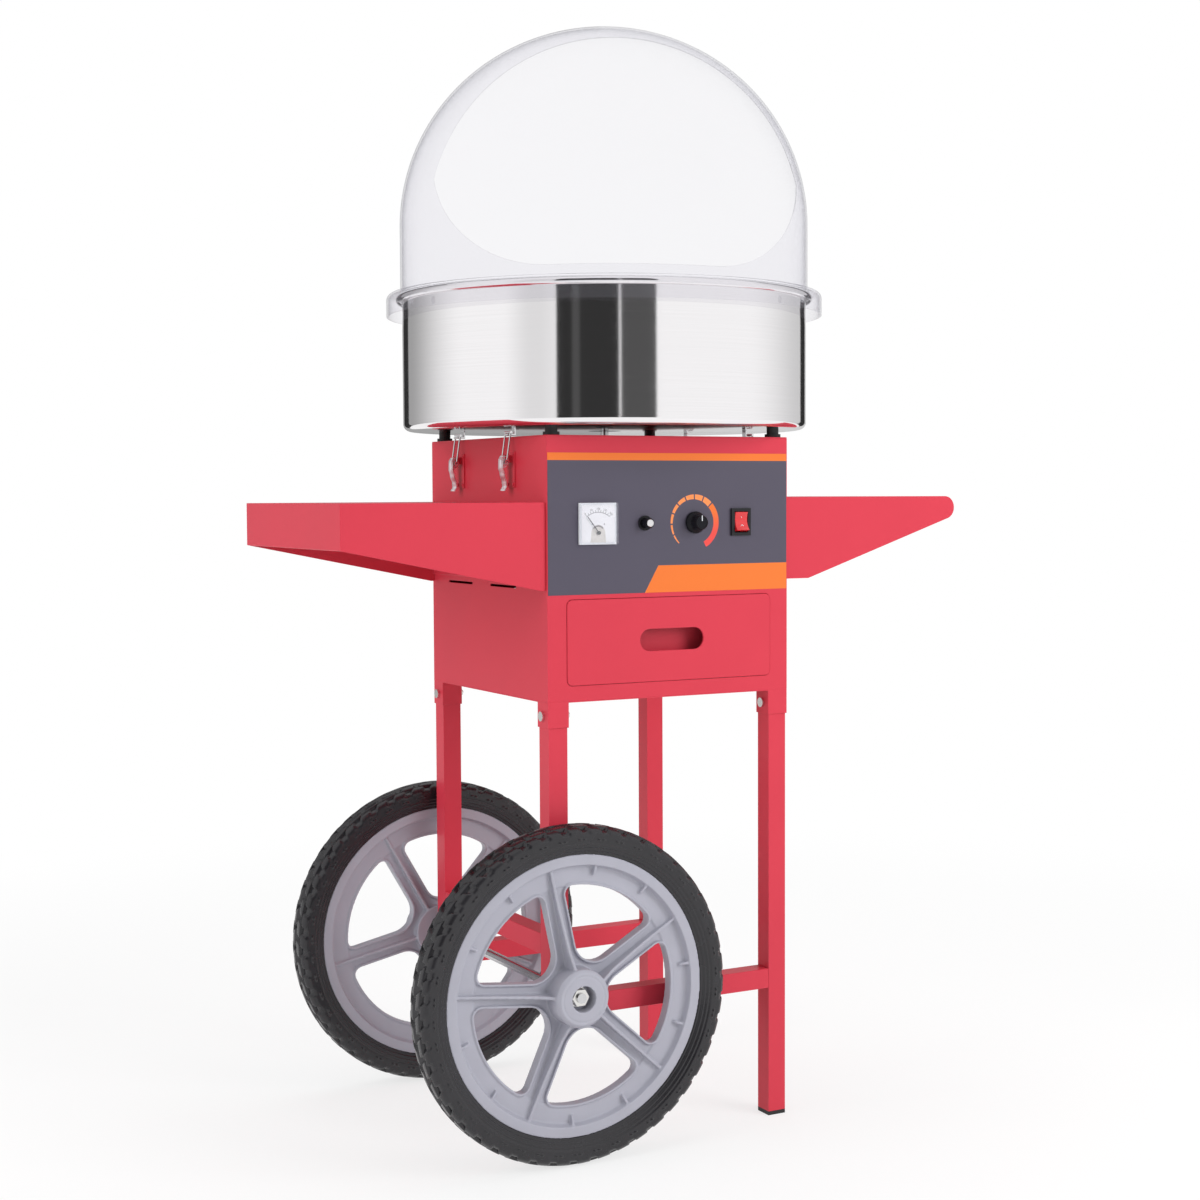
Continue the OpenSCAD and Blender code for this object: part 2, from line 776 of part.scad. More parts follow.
module front_left_lever() color([0.8, 0.8, 0.82]) placed() at_latch(-1, -latch_y) lever_shape();
module back_left_lever() color([0.8, 0.8, 0.82]) placed() at_latch(-1, latch_y) lever_shape();
module front_right_lever() color([0.8, 0.8, 0.82]) placed() at_latch(1, -latch_y) lever_shape();
module back_right_lever() color([0.8, 0.8, 0.82]) placed() at_latch(1, latch_y) lever_shape();
module front_left_bail() color([0.75, 0.75, 0.77]) placed() at_latch(-1, -latch_y) bail_shape();
module back_left_bail() color([0.75, 0.75, 0.77]) placed() at_latch(-1, latch_y) bail_shape();
module front_right_bail() color([0.75, 0.75, 0.77]) placed() at_latch(1, -latch_y) bail_shape();
module back_right_bail() color([0.75, 0.75, 0.77]) placed() at_latch(1, latch_y) bail_shape();

// Dome

// The hand opening, as seen from straight in front of it.
module opening_shape() {
  low = rim_z + 15;
  round_r = 125;
  intersection() {
    translate([0, rim_z + 71])
      circle(r = opening_half + 7);
    union() {
      for (s = [-1, 1])
        translate([s * (opening_half - round_r), low + round_r])
          circle(r = round_r);
      translate([round_r - opening_half, low])
        square([2 * (opening_half - round_r), round_r + 2]);
      translate([-opening_half, low + round_r])
        square([2 * opening_half, 200]);
    }
  }
}

module dome() color([0.85, 0.88, 0.95, 0.3]) placed()
  difference() {
    rotate_extrude()
      dome_profile();
    rotate([0, 0, -opening_turn])
      front_shape(0, 0, -flange_r - 20, -40)
        opening_shape();
  }

// Half of the dome cut through its middle: gate mark, cap, shoulder, wall, flange and skirt.
module dome_profile() {
  union() {
    polygon([[dome_r - dome_wall, dome_in_z], [flange_r - dome_wall, dome_in_z],
      [flange_r - dome_wall, dome_in_z - 26], [flange_r, dome_in_z - 26], [flange_r, dome_in_z + dome_wall],
      [dome_r, dome_in_z + dome_wall], [dome_r, dome_spring_z], [dome_r - dome_wall, dome_spring_z]]);
    intersection() {
      translate([shoulder_c, dome_spring_z])
        difference() {
          circle(r = shoulder_r);
          circle(r = shoulder_r - dome_wall);
        }
      polygon([[shoulder_c, dome_spring_z], [2 * dome_r, dome_spring_z],
        [2 * dome_r, dome_spring_z + (2 * dome_r - shoulder_c) * cap_drop / shoulder_c]]);
    }
    intersection() {
      translate([0, cap_c])
        difference() {
          circle(r = cap_r);
          circle(r = cap_r - dome_wall);
        }
      polygon([[gate_r - 1, cap_c + (gate_r - 1) * cap_drop / shoulder_c],
        [2 * dome_r, cap_c + 2 * dome_r * cap_drop / shoulder_c], [gate_r - 1, cap_c + 2 * dome_r]]);
    }
    translate([0, cap_c + cap_r - dome_wall - 0.3])
      square([gate_r, dome_wall + 0.8]);
  }
}

// Shelves

module left_shelf() color([0.8, 0.08, 0.13]) placed() {
  top = base_z + left_shelf_rise;
  out = half + left_reach;
  wide = cabinet_side - 2 * shelf_inset;
  difference() {
    along_y(wide)
      polygon([[-half, top], [-out, top], [-out, top - shelf_lip], [-half - 5, top - left_shelf_root],
        [-half, top - left_shelf_root]]);
    block([sheet - out, sheet - wide / 2, top - left_shelf_root - 35],
      [-half - sheet, wide / 2 - sheet, top - sheet]);
    block([-half - 2 * sheet, sheet - wide / 2, top - left_shelf_root - 35],
      [e - half, wide / 2 - sheet, top - left_flange]);
  }
}

module right_shelf() color([0.8, 0.08, 0.13]) placed() {
  top = base_z + right_shelf_rise;
  out = half + right_reach;
  wide = cabinet_side - 2 * shelf_inset;
  tip = shelf_tip;
  open_z = top - right_shelf_root - 36;
  difference() {
    along_y(wide)
      union() {
        polygon([[half, top], [out - tip, top], [out - tip, top - tip], [out - tip + tip * 0.311, top - tip - tip * 0.95],
          [half + 35, top - right_shelf_root], [half, top - right_shelf_root]]);
        translate([out - tip, top - tip])
          circle(r = tip);
      }
    along_y(wide - 2 * sheet)
      union() {
        polygon([[half + sheet, top - sheet], [out - tip, top - sheet], [out - tip, top - tip],
          [out - tip + (tip - sheet) * 0.311, top - tip - (tip - sheet) * 0.95],
          [out - tip + (tip + 6) * 0.311, top - tip - (tip + 6) * 0.95], [half + 35, open_z],
          [half + sheet, open_z]]);
        translate([out - tip, top - tip])
          circle(r = tip - sheet);
      }
  }
}

// Stand

bolt_r = 3;

module leg(sx, sy, foot) {
  difference() {
    post(sx * leg_side, sy * leg_side, foot, leg_top);
    bar_x(sy * leg_side, bolt_z, sx * leg_side - tube, sx * leg_side + tube, bolt_r + seat_gap);
    if (sx < 0)
      bar_y(-leg_side, wheel_radius, sy * leg_side - tube, sy * leg_side + tube, axle_radius + seat_gap);
  }
}

module front_left_leg() color([0.76, 0.05, 0.09]) placed() leg(-1, -1, left_leg_foot);
module back_left_leg() color([0.76, 0.05, 0.09]) placed() leg(-1, 1, left_leg_foot);
module front_right_leg() color([0.76, 0.05, 0.09]) placed() leg(1, -1, foot_thickness);
module back_right_leg() color([0.76, 0.05, 0.09]) placed() leg(1, 1, foot_thickness);

module cross_tube(y) {
  translate([-leg_inner, y, stretcher_height])
    difference() {
      block([0, -tube / 2, -tube / 2], [2 * leg_inner, tube / 2, tube / 2]);
      block([-e, tube_wall - tube / 2, tube_wall - tube / 2],
        [2 * leg_inner + e, tube / 2 - tube_wall, tube / 2 - tube_wall]);
    }
}

module front_stretcher() color([0.78, 0.06, 0.1]) placed() cross_tube(-leg_side);
module back_stretcher() color([0.78, 0.06, 0.1]) placed() cross_tube(leg_side);
module left_stretcher() color([0.78, 0.06, 0.1]) placed()
  translate([-leg_side, -leg_inner, side_stretcher_height])
    difference() {
      block([-tube / 2, 0, -tube / 2], [tube / 2, 2 * leg_inner, tube / 2]);
      block([tube_wall - tube / 2, -e, tube_wall - tube / 2],
        [tube / 2 - tube_wall, 2 * leg_inner + e, tube / 2 - tube_wall]);
    }

module foot_caps() color([0.06, 0.06, 0.06]) placed()
  for (sy = [-1, 1]) {
    plug = tube / 2 - tube_wall - seat_gap;
    block([leg_side - tube / 2, sy * leg_side - tube / 2, 0],
      [leg_side + tube / 2, sy * leg_side + tube / 2, foot_thickness]);
    block([leg_side - plug, sy * leg_side - plug, foot_thickness - e],
      [leg_side + plug, sy * leg_side + plug, foot_thickness + 14]);
  }

module frame_bolts() color([0.78, 0.78, 0.8]) placed()
  for (sx = [-1, 1])
    for (sy = [-1, 1]) {
      face = tube / 2 + socket_gap + socket_wall;
      bar_x(sy * leg_side, bolt_z, sx * leg_side - face - 1, sx * leg_side + face + 7, bolt_r);
      bar_x(sy * leg_side, bolt_z, sx * leg_side - face - 3.5, sx * leg_side - face, 6);
      translate([sx * leg_side + face, sy * leg_side, bolt_z])
        rotate([0, 90, 0])
          cylinder(h = 5, r = 5.8, $fn = 6);
    }

// Wheels

washer_t = 1.5;
nut_t = 8;
bore_floor = hub_reach - 18.5;
nut_seat = wheel_mid + bore_floor + free_gap;

module axle() color([0.75, 0.75, 0.77]) placed()
  bar_y(-leg_side, wheel_radius, -nut_seat - washer_t - nut_t - 3, nut_seat + washer_t + nut_t + 3, axle_radius);

module nut_shape() {
  difference() {
    union() {
      bar_y(-leg_side, wheel_radius, nut_seat, nut_seat + washer_t, 12.5);
      front_shape(-leg_side, wheel_radius, nut_seat + washer_t, nut_seat + washer_t + nut_t)
        circle(r = 11, $fn = 6);
    }
    bar_y(-leg_side, wheel_radius, nut_seat - e, nut_seat + 20, axle_radius + run_gap);
  }
}

module axle_nuts() color([0.8, 0.78, 0.72]) placed()
  union() {
    nut_shape();
    mirror([0, 1, 0])
      nut_shape();
  }

module spacer_shape() {
  difference() {
    bar_y(-leg_side, wheel_radius, leg_face, wheel_mid - rim_width / 2 - free_gap, 10);
    bar_y(-leg_side, wheel_radius, leg_face - e, wheel_mid, axle_radius + run_gap);
  }
}

module axle_spacers() color([0.6, 0.6, 0.63]) placed()
  union() {
    spacer_shape();
    mirror([0, 1, 0])
      spacer_shape();
  }

ledge_r = rim_radius - 37.4;
web_half = 5;

// One window between two spokes, its middle line along X. Its outer arc ends inside the rim.
module window_shape() {
  inner_r = 28;
  corner_r = 10;
  arc_r = ledge_r + 1;
  inner_c = (spoke_half + inner_r) / sin(36);
  side = spoke_half + corner_r;
  corner_c = sqrt((arc_r - corner_r) * (arc_r - corner_r) - side * side);
  edge = 36 - atan2(side, corner_c);
  mid_r = arc_r - corner_r;
  union() {
    translate([inner_c, 0])
      circle(r = inner_r);
    for (s = [-1, 1])
      translate([mid_r * cos(edge), s * mid_r * sin(edge)])
        circle(r = corner_r);
    intersection() {
      circle(r = arc_r);
      polygon([[inner_c, 0], [mid_r * cos(edge), mid_r * sin(edge)],
        [2 * arc_r * cos(edge), 2 * arc_r * sin(edge)], [2 * arc_r * cos(edge), -2 * arc_r * sin(edge)],
        [mid_r * cos(edge), -mid_r * sin(edge)]]);
    }
    for (s = [-1, 1])
      polygon([[inner_c - inner_r * sin(36), s * inner_r * cos(36)],
        [mid_r * cos(edge) - corner_r * sin(36), s * (mid_r * sin(edge) + corner_r * cos(36))],
        [mid_r * cos(edge), s * mid_r * sin(edge)], [inner_c + 2, 0], [inner_c, 0]]);
  }
}

// A wheel body about the Z axis, its outer side up, its middle at height zero.
module rim_shape() {
  step = rim_width / 2;
  bore = axle_radius + run_gap;
  union() {
    rotate_extrude()
      polygon([[ledge_r, -7], [ledge_r + 7.4, -7], [ledge_r + 23.4, -step], [rim_radius, -step],
        [rim_radius, -step + 5.5], [rim_radius - 7, -step + 5.5], [rim_radius - 7, step - 5.5],
        [rim_radius, step - 5.5], [rim_radius, step], [ledge_r + 23.4, step], [ledge_r + 7.4, 7], [ledge_r, 7]]);
    rotate_extrude()
      polygon([[bore, -step], [hub_radius, -step], [hub_radius, hub_reach - 4], [hub_radius - 4, hub_reach],
        [15.5, hub_reach], [15.5, bore_floor], [bore, bore_floor]]);
    translate([0, 0, -web_half])
      linear_extrude(height = 2 * web_half)
        difference() {
          circle(r = ledge_r + 3);
          circle(r = hub_radius - 8);
          for (k = [0 : 4])
            rotate([0, 0, 66 + 72 * k])
              window_shape();
        }
    for (k = [0 : 4])
      rotate([0, 0, 30 + 72 * k])
        rib_shape(step);
  }
}

module rib_shape(step) {
  translate([0, 2, 0])
    rotate([90, 0, 0])
      linear_extrude(height = 4)
        polygon([[hub_radius - 2, -step + 1], [ledge_r + 3, -6.5], [ledge_r + 3, 6.5], [hub_radius - 2, hub_reach - 7]]);
}

module tyre_shape() {
  edge = rim_width / 2;
  wide = tyre_width / 2;
  low = rim_radius + seat_gap;
  rotate_extrude()
    polygon([[rim_radius - 6.5, 6 - edge], [low, 6 - edge], [low, -edge], [rim_radius + 6, -wide + 2.5],
      [rim_radius + 14, -wide], [wheel_radius - 10, -wide + 1], [wheel_radius - 3.5, -wide + 4],
      [wheel_radius, -wide + 8], [wheel_radius, wide - 8], [wheel_radius - 3.5, wide - 4],
      [wheel_radius - 10, wide - 1], [rim_radius + 14, wide], [rim_radius + 6, wide - 2.5],
      [low, edge], [low, edge - 6], [rim_radius - 6.5, edge - 6]]);
}

// Stands a wheel up at the front, its outer side facing forward.
module front_wheel() {
  translate([-leg_side, -wheel_mid, wheel_radius])
    rotate([90, 0, 0])
      children();
}

// Stands a wheel up at the back, its outer side facing back.
module back_wheel() {
  translate([-leg_side, wheel_mid, wheel_radius])
    rotate([-90, 0, 0])
      children();
}

module front_rim() color([0.65, 0.65, 0.7]) placed() front_wheel() rim_shape();
module front_tyre() color([0.16, 0.15, 0.17]) placed() front_wheel() tyre_shape();
module back_rim() color([0.65, 0.65, 0.7]) placed() back_wheel() rotate([0, 0, -78]) rim_shape();
module back_tyre() color([0.16, 0.15, 0.17]) placed() back_wheel() tyre_shape();

// The pieces of the cart

cabinet_shell();
top_plate();
base_frame();
control_overlay();
drawer_front();
drawer_box();
drawer_runners();
meter_body();
meter_dial();
meter_cover();
meter_needle();
fuse_holder();
fuse_cap();
control_knob();
speed_control();
switch_bezel();
switch_rocker();
circuit_board();
cable_gland();
motor();
motor_bracket();
rubber_mounts();
brush_block();
head_shaft();
slip_rings();
head_pan();
heater_ring();
head_mesh();
head_lid();
bowl();
bowl_catches();
latch_bases();
front_left_lever();
back_left_lever();
front_right_lever();
back_right_lever();
front_left_bail();
back_left_bail();
front_right_bail();
back_right_bail();
dome();
left_shelf();
right_shelf();
front_left_leg();
back_left_leg();
front_right_leg();
back_right_leg();
front_stretcher();
back_stretcher();
left_stretcher();
foot_caps();
frame_bolts();
axle();
axle_nuts();
axle_spacers();
front_rim();
front_tyre();
back_rim();
back_tyre();
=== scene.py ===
# Cotton candy cart: finishes and fine forms over the construction model, in metres and degrees.
import math

import bmesh
import bpy
from mathutils import Matrix, Vector


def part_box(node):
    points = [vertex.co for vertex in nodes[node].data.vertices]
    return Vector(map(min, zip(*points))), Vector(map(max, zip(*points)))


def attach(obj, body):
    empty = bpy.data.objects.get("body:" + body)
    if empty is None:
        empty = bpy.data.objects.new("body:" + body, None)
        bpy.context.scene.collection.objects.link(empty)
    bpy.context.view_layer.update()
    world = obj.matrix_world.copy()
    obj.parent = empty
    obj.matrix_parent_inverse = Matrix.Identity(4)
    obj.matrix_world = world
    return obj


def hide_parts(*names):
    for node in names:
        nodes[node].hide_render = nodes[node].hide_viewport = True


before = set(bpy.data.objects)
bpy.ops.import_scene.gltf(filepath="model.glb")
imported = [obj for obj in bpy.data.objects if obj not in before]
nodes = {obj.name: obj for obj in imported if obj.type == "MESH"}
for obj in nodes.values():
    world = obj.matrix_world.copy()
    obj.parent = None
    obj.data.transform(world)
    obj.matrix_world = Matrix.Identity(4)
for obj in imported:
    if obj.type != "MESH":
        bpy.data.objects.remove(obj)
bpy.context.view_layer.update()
scene = bpy.context.scene
scene.view_settings.view_transform = "Standard"


def middle(node):
    low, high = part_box(node)
    return (low + high) / 2


# Places taken from the construction model

cabinet_low, cabinet_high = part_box("cabinet_shell")
bowl_low, bowl_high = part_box("bowl")
panel_low, panel_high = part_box("control_overlay")
axis_x = middle("cabinet_shell").x
panel_y = panel_low.y
rim_z = bowl_high.z

CORNERS = ("front_left", "back_left", "front_right", "back_right")

# A quarter turn about X: a form's Z comes to face the front, and its Y to point up

UPRIGHT = Matrix.Rotation(math.radians(90), 4, "X")

# Camera, at the photograph's viewing angle

CAMERA_TURN = math.radians(-28.199)
CAMERA_PITCH = math.radians(3.109)
CAMERA_ROLL = math.radians(-0.273)
CAMERA_SPOT = (-1.215, -2.2514, 0.7973)
CAMERA_LENS = 58.903


def place_camera():
    right = Vector((math.cos(CAMERA_TURN), math.sin(CAMERA_TURN), 0))
    flat = Vector((math.sin(CAMERA_TURN), -math.cos(CAMERA_TURN), 0))
    back = flat * math.cos(CAMERA_PITCH) + Vector((0, 0, math.sin(CAMERA_PITCH)))
    up = back.cross(right)
    side = right * math.cos(CAMERA_ROLL) + up * math.sin(CAMERA_ROLL)
    top = up * math.cos(CAMERA_ROLL) - right * math.sin(CAMERA_ROLL)
    data = bpy.data.cameras.new("camera")
    data.lens = CAMERA_LENS
    data.sensor_width = 36
    data.clip_end = 60
    camera = bpy.data.objects.new("camera", data)
    scene.collection.objects.link(camera)
    spot = Matrix.Translation(Vector(CAMERA_SPOT) + Vector((axis_x, 0, 0)))
    camera.matrix_world = spot @ Matrix((side, top, back)).transposed().to_4x4()
    scene.camera = camera


# Shader maths as expressions


class Value:
    """A socket whose sums and products are Math nodes."""

    def __init__(self, finish, socket):
        self.finish, self.socket = finish, socket

    def math(self, operation, *values):
        sockets = dict(enumerate((self, *values)))
        return self.finish.node("ShaderNodeMath", {"operation": operation}, sockets)

    def __add__(self, other):
        return self.math("ADD", other)

    def __sub__(self, other):
        return self.math("SUBTRACT", other)

    def __mul__(self, other):
        return self.math("MULTIPLY", other)

    def __truediv__(self, other):
        return self.math("DIVIDE", other)

    def __pow__(self, other):
        return self.math("POWER", other)

    def __rsub__(self, other):
        return self.finish.node("ShaderNodeMath", {"operation": "SUBTRACT"}, {0: other, 1: self})

    def __abs__(self):
        return self.math("ABSOLUTE")

    __radd__ = __add__
    __rmul__ = __mul__


class Finish:
    """A material being put together."""

    def __init__(self, name, **constants):
        self.material = bpy.data.materials.new(name)
        self.material.use_nodes = True
        self.tree = self.material.node_tree
        self.tree.nodes.clear()
        self.end = self.tree.nodes.new("ShaderNodeOutputMaterial")
        self.skin = self.node("ShaderNodeBsdfPrincipled")
        self.set(**constants)
        self.feed(self.end.inputs["Surface"], self.skin)

    def feed(self, socket, value):
        if isinstance(value, Value):
            self.tree.links.new(value.socket, socket)
        elif socket.type == "RGBA" and len(value) == 3:
            socket.default_value = (*value, 1)
        else:
            socket.default_value = value

    def node(self, kind, settings=None, sockets=None, output=0):
        made = self.tree.nodes.new(kind)
        for key, setting in (settings or {}).items():
            setattr(made, key, setting)
        for key, value in (sockets or {}).items():
            self.feed(made.inputs[key], value)
        return Value(self, made.outputs[output])

    def set(self, **values):
        for key, value in values.items():
            self.feed(self.skin.socket.node.inputs[key.replace("_", " ")], value)
        return self

    def place(self):
        """Object coordinates, as one vector."""
        return self.node("ShaderNodeTexCoord", output="Object")

    def parts(self, spot):
        """The three parts of a vector."""
        outputs = self.node("ShaderNodeSeparateXYZ", {}, {0: spot}).socket.node.outputs
        return [Value(self, outputs[k]) for k in range(3)]

    def noise(self, spot, scale):
        sockets = {"Vector": spot, "Scale": scale, "Detail": 3.0}
        return self.node("ShaderNodeTexNoise", {}, sockets)

    def grain(self, spot, across, along, up):
        """Noise drawn out along the axes whose scale is small."""
        stretched = self.node(
            "ShaderNodeVectorMath", {"operation": "MULTIPLY"}, {0: spot, 1: (across, along, up)}
        )
        return self.noise(stretched, 1.0)

    def step(self, value, place, soft):
        """Rises smoothly from 0 to 1 about a place."""
        limits = {"Value": value, "From Min": place - soft, "From Max": place + soft}
        return self.node("ShaderNodeMapRange", {"interpolation_type": "SMOOTHSTEP"}, limits)

    def band(self, value, low, high, soft):
        """1 between low and high."""
        return self.step(value, low, soft) * (1 - self.step(value, high, soft))

    def mix(self, factor, first, second):
        colours = {0: factor, 6: first, 7: second}
        return self.node("ShaderNodeMix", {"data_type": "RGBA"}, colours, 2)

    def bump(self, height, distance):
        sockets = {"Height": height, "Distance": distance}
        return self.set(Normal=self.node("ShaderNodeBump", {}, sockets))


def shade(color, factor):
    return tuple(part * factor for part in color)


# Paints, plastics and metals

RED = (0.62, 0.042, 0.069)


def red_paint(name):
    """Gloss powder coat with faint orange peel."""
    finish = Finish(name, Specular_IOR_Level=0.2, Coat_Weight=0.04, Coat_Roughness=0.1)
    spot = finish.place()
    cloud = finish.noise(spot, 7.0)
    fleck = finish.step(finish.noise(spot, 420.0), 0.7, 0.1)
    tone = finish.mix(cloud, shade(RED, 0.95), shade(RED, 1.05))
    tone = finish.mix(fleck * 0.2, tone, shade(RED, 1.2))
    finish.set(Base_Color=tone, Roughness=0.34 + 0.1 * cloud)
    return finish.bump(finish.noise(spot, 650.0), 0.00005).material


def moulded(name, color, rough, grain=1400.0, depth=0.00004, mottle=0.08, **constants):
    """Moulded plastic or rubber with a fine grain."""
    finish = Finish(name, **constants)
    spot = finish.place()
    cloud = finish.noise(spot, 30.0)
    tone = finish.mix(cloud, shade(color, 1 - mottle), shade(color, 1 + mottle))
    finish.set(Base_Color=tone, Roughness=rough - 0.05 + 0.1 * cloud)
    return finish.bump(finish.noise(spot, grain), depth).material


def metal(name, color, rough, lines=(60, 60, 60), depth=0.00001):
    """Plated, turned or brushed metal. The scales in lines are small along its brushing."""
    finish = Finish(name, Metallic=1.0)
    spot = finish.place()
    line = finish.grain(spot, *lines)
    cloud = finish.noise(spot, 14.0)
    tone = finish.mix(line, shade(color, 0.94), shade(color, 1.05))
    finish.set(Base_Color=tone, Roughness=rough - 0.03 + 0.04 * line + 0.03 * cloud)
    return finish.bump(line, depth).material


# Control panel print

GREY = (0.07, 0.062, 0.092)
ORANGE = (0.79, 0.165, 0.014)
PALE_ORANGE = (0.88, 0.26, 0.07)
HOT = (0.78, 0.06, 0.05)
PRINT_EDGE = 0.00015
STRIP_HEIGHT = 0.009
FIELD_HEIGHT = 0.033
FIELD_SLANT = 19 / 33
FIELD_LEFT = -0.037
SCALE_RADIUS = 0.0345
SCALE_START = -140
SCALE_TURN = 23.2
SCALE_BLOCKS = 8
SCALE_GAP = 0.07
SCALE_THICK = 0.0013
SCALE_GROWTH = 0.00078
SCALE_END = 152
SWEEP_GAP = 1.6
SWEEP_WIDTH = 0.0075
SWEEP_HOT = 85.0
SWEEP_BLEND = 40.0


def panel_print(name):
    """Grey panel with an orange strip, an orange field and the scale round the knob."""
    finish = Finish(name)
    spot = finish.place()
    x, _, z = finish.parts(spot)
    knob = middle("speed_control")
    soft = PRINT_EDGE
    across, above = x - knob.x, z - knob.z
    radius = (across * across + above * above) ** 0.5
    turn = across.math("ARCTAN2", above) * (180 / math.pi)
    strip = finish.step(z, panel_high.z - STRIP_HEIGHT, soft)
    slant = x - (axis_x + FIELD_LEFT) - (z - panel_low.z) * FIELD_SLANT
    field = finish.step(slant, 0.0, soft)
    field = field * (1 - finish.step(z, panel_low.z + FIELD_HEIGHT, soft))
    blocks = (turn - SCALE_START) / SCALE_TURN
    part = blocks - blocks.math("FLOOR")
    thick = SCALE_THICK + SCALE_GROWTH * blocks
    marks = finish.band(part, SCALE_GAP, 1 - SCALE_GAP, 0.02)
    marks = marks * finish.band(blocks, 0.0, SCALE_BLOCKS, 0.01)
    marks = marks * finish.step(radius + thick, SCALE_RADIUS, soft)
    sweep_start = SCALE_START + SCALE_BLOCKS * SCALE_TURN + SWEEP_GAP
    sweep = finish.band(turn, sweep_start, SCALE_END, 0.4)
    sweep = sweep * finish.step(radius, SCALE_RADIUS - SWEEP_WIDTH, soft)
    inside = 1 - finish.step(radius, SCALE_RADIUS, soft)
    fleck = finish.noise(spot, 900.0)
    tone = finish.mix(finish.noise(spot, 8.0), shade(GREY, 0.94), shade(GREY, 1.06))
    tone = finish.mix(strip, tone, ORANGE)
    tone = finish.mix(field, tone, ORANGE)
    tone = finish.mix(marks * inside, tone, PALE_ORANGE)
    glow = finish.mix(finish.step(turn, SWEEP_HOT, SWEEP_BLEND), ORANGE, HOT)
    tone = finish.mix(sweep * inside, tone, glow)
    finish.set(Base_Color=tone, Roughness=0.4 + 0.08 * fleck)
    return finish.bump(fleck, 0.00003).material


# Meter dial print

DIAL_RADIUS = 0.025
DIAL_SWING = 38
DIAL_DROP = 0.011
DIAL_EDGE = 0.00012
LINE_WIDTH = 0.0007
LINE_PAST = 0.6
TICK_TURN = 7.6
TICK_SHARE = 0.09
TICK_RADIUS = 0.0275
FROST_RADIUS = 0.0093
FROST_TAPER = 0.12
MOON_RADIUS = 0.0072
MOON_SWING = 52.0
DOT_ACROSS = 0.0083
DOT_RISE = 0.0105
DOT_RADIUS = 0.0009
PAPER_TONES = ((0.80, 0.80, 0.83), (0.86, 0.86, 0.89))
FROST_TONES = ((0.52, 0.49, 0.46), (0.8, 0.77, 0.74))
MOON_TONE = (0.1, 0.09, 0.1)
INK_TONE = (0.05, 0.05, 0.07)


def meter_print(name):
    """White dial: an arc with ticks, two dots, a dark half moon and a frosted foot under it."""
    finish = Finish(name, Roughness=0.5)
    spot = finish.place()
    x, _, z = finish.parts(spot)
    dial = middle("meter_dial")
    soft = DIAL_EDGE
    across, above = x - dial.x, z - dial.z + DIAL_DROP
    radius = (across * across + above * above) ** 0.5
    turn = across.math("ARCTAN2", above) * (180 / math.pi)
    ticks = turn / TICK_TURN
    off = abs(ticks - ticks.math("ROUND"))
    ticks = 1 - finish.step(off, TICK_SHARE, 0.02)
    ticks = ticks * finish.band(radius, DIAL_RADIUS, TICK_RADIUS, soft)
    line = finish.band(radius, DIAL_RADIUS - LINE_WIDTH, DIAL_RADIUS, soft)
    swing = DIAL_SWING + LINE_PAST
    ink = finish.band(turn, -swing, swing, 0.2) * ticks.math("MAXIMUM", line)
    low = 1 - finish.step(above, 0.0, soft)
    foot = (1 - finish.step(abs(across) + above * FROST_TAPER, FROST_RADIUS, soft)) * low
    foot = foot.math("MAXIMUM", 1 - finish.step(radius, FROST_RADIUS, soft))
    moon = finish.band(radius, MOON_RADIUS, FROST_RADIUS, soft)
    moon = moon * finish.band(turn, -MOON_SWING, MOON_SWING, 4.0)
    dots = (abs(across) - DOT_ACROSS) ** 2 + (above - DOT_RISE) ** 2
    dots = 1 - finish.step(dots**0.5, DOT_RADIUS, soft)
    paper = finish.mix(finish.noise(spot, 60.0), *PAPER_TONES)
    frost = finish.mix(finish.noise(spot, 260.0), *FROST_TONES)
    tone = finish.mix(foot, paper, frost)
    tone = finish.mix(moon * 0.75, tone, MOON_TONE)
    tone = finish.mix(ink.math("MAXIMUM", dots) * 0.85, tone, INK_TONE)
    return finish.set(Base_Color=tone).bump(finish.noise(spot, 900.0), 0.00002).material


def clear_sheet(name, tint, haze, edge, passing):
    """Clear plastic, faint where it is faced and greyer where it is seen edge on, where its colour
    is darkened as painted shade for the dark edges that reflections give it.
    """
    finish = Finish(name, Roughness=0.03)
    spot = finish.place()
    facing = finish.node("ShaderNodeLayerWeight", {}, {"Blend": 0.5}, "Facing")
    dust = finish.noise(spot, 6.0)
    pale = finish.mix(dust, shade(tint, 0.97), tint)
    # Painted shade: the colour darkens towards the edges seen edge on, standing in for the dark
    # reflections there
    finish.set(Base_Color=finish.mix(facing**8, pale, shade(tint, 0.45)))
    see = finish.node("ShaderNodeBsdfTransparent", {}, {"Color": passing})
    body = haze * (0.6 + 0.8 * dust) + edge * facing**7
    both = finish.node("ShaderNodeMixShader", {}, {0: body, 1: see, 2: finish.skin})
    finish.feed(finish.end.inputs["Surface"], both)
    return finish.material


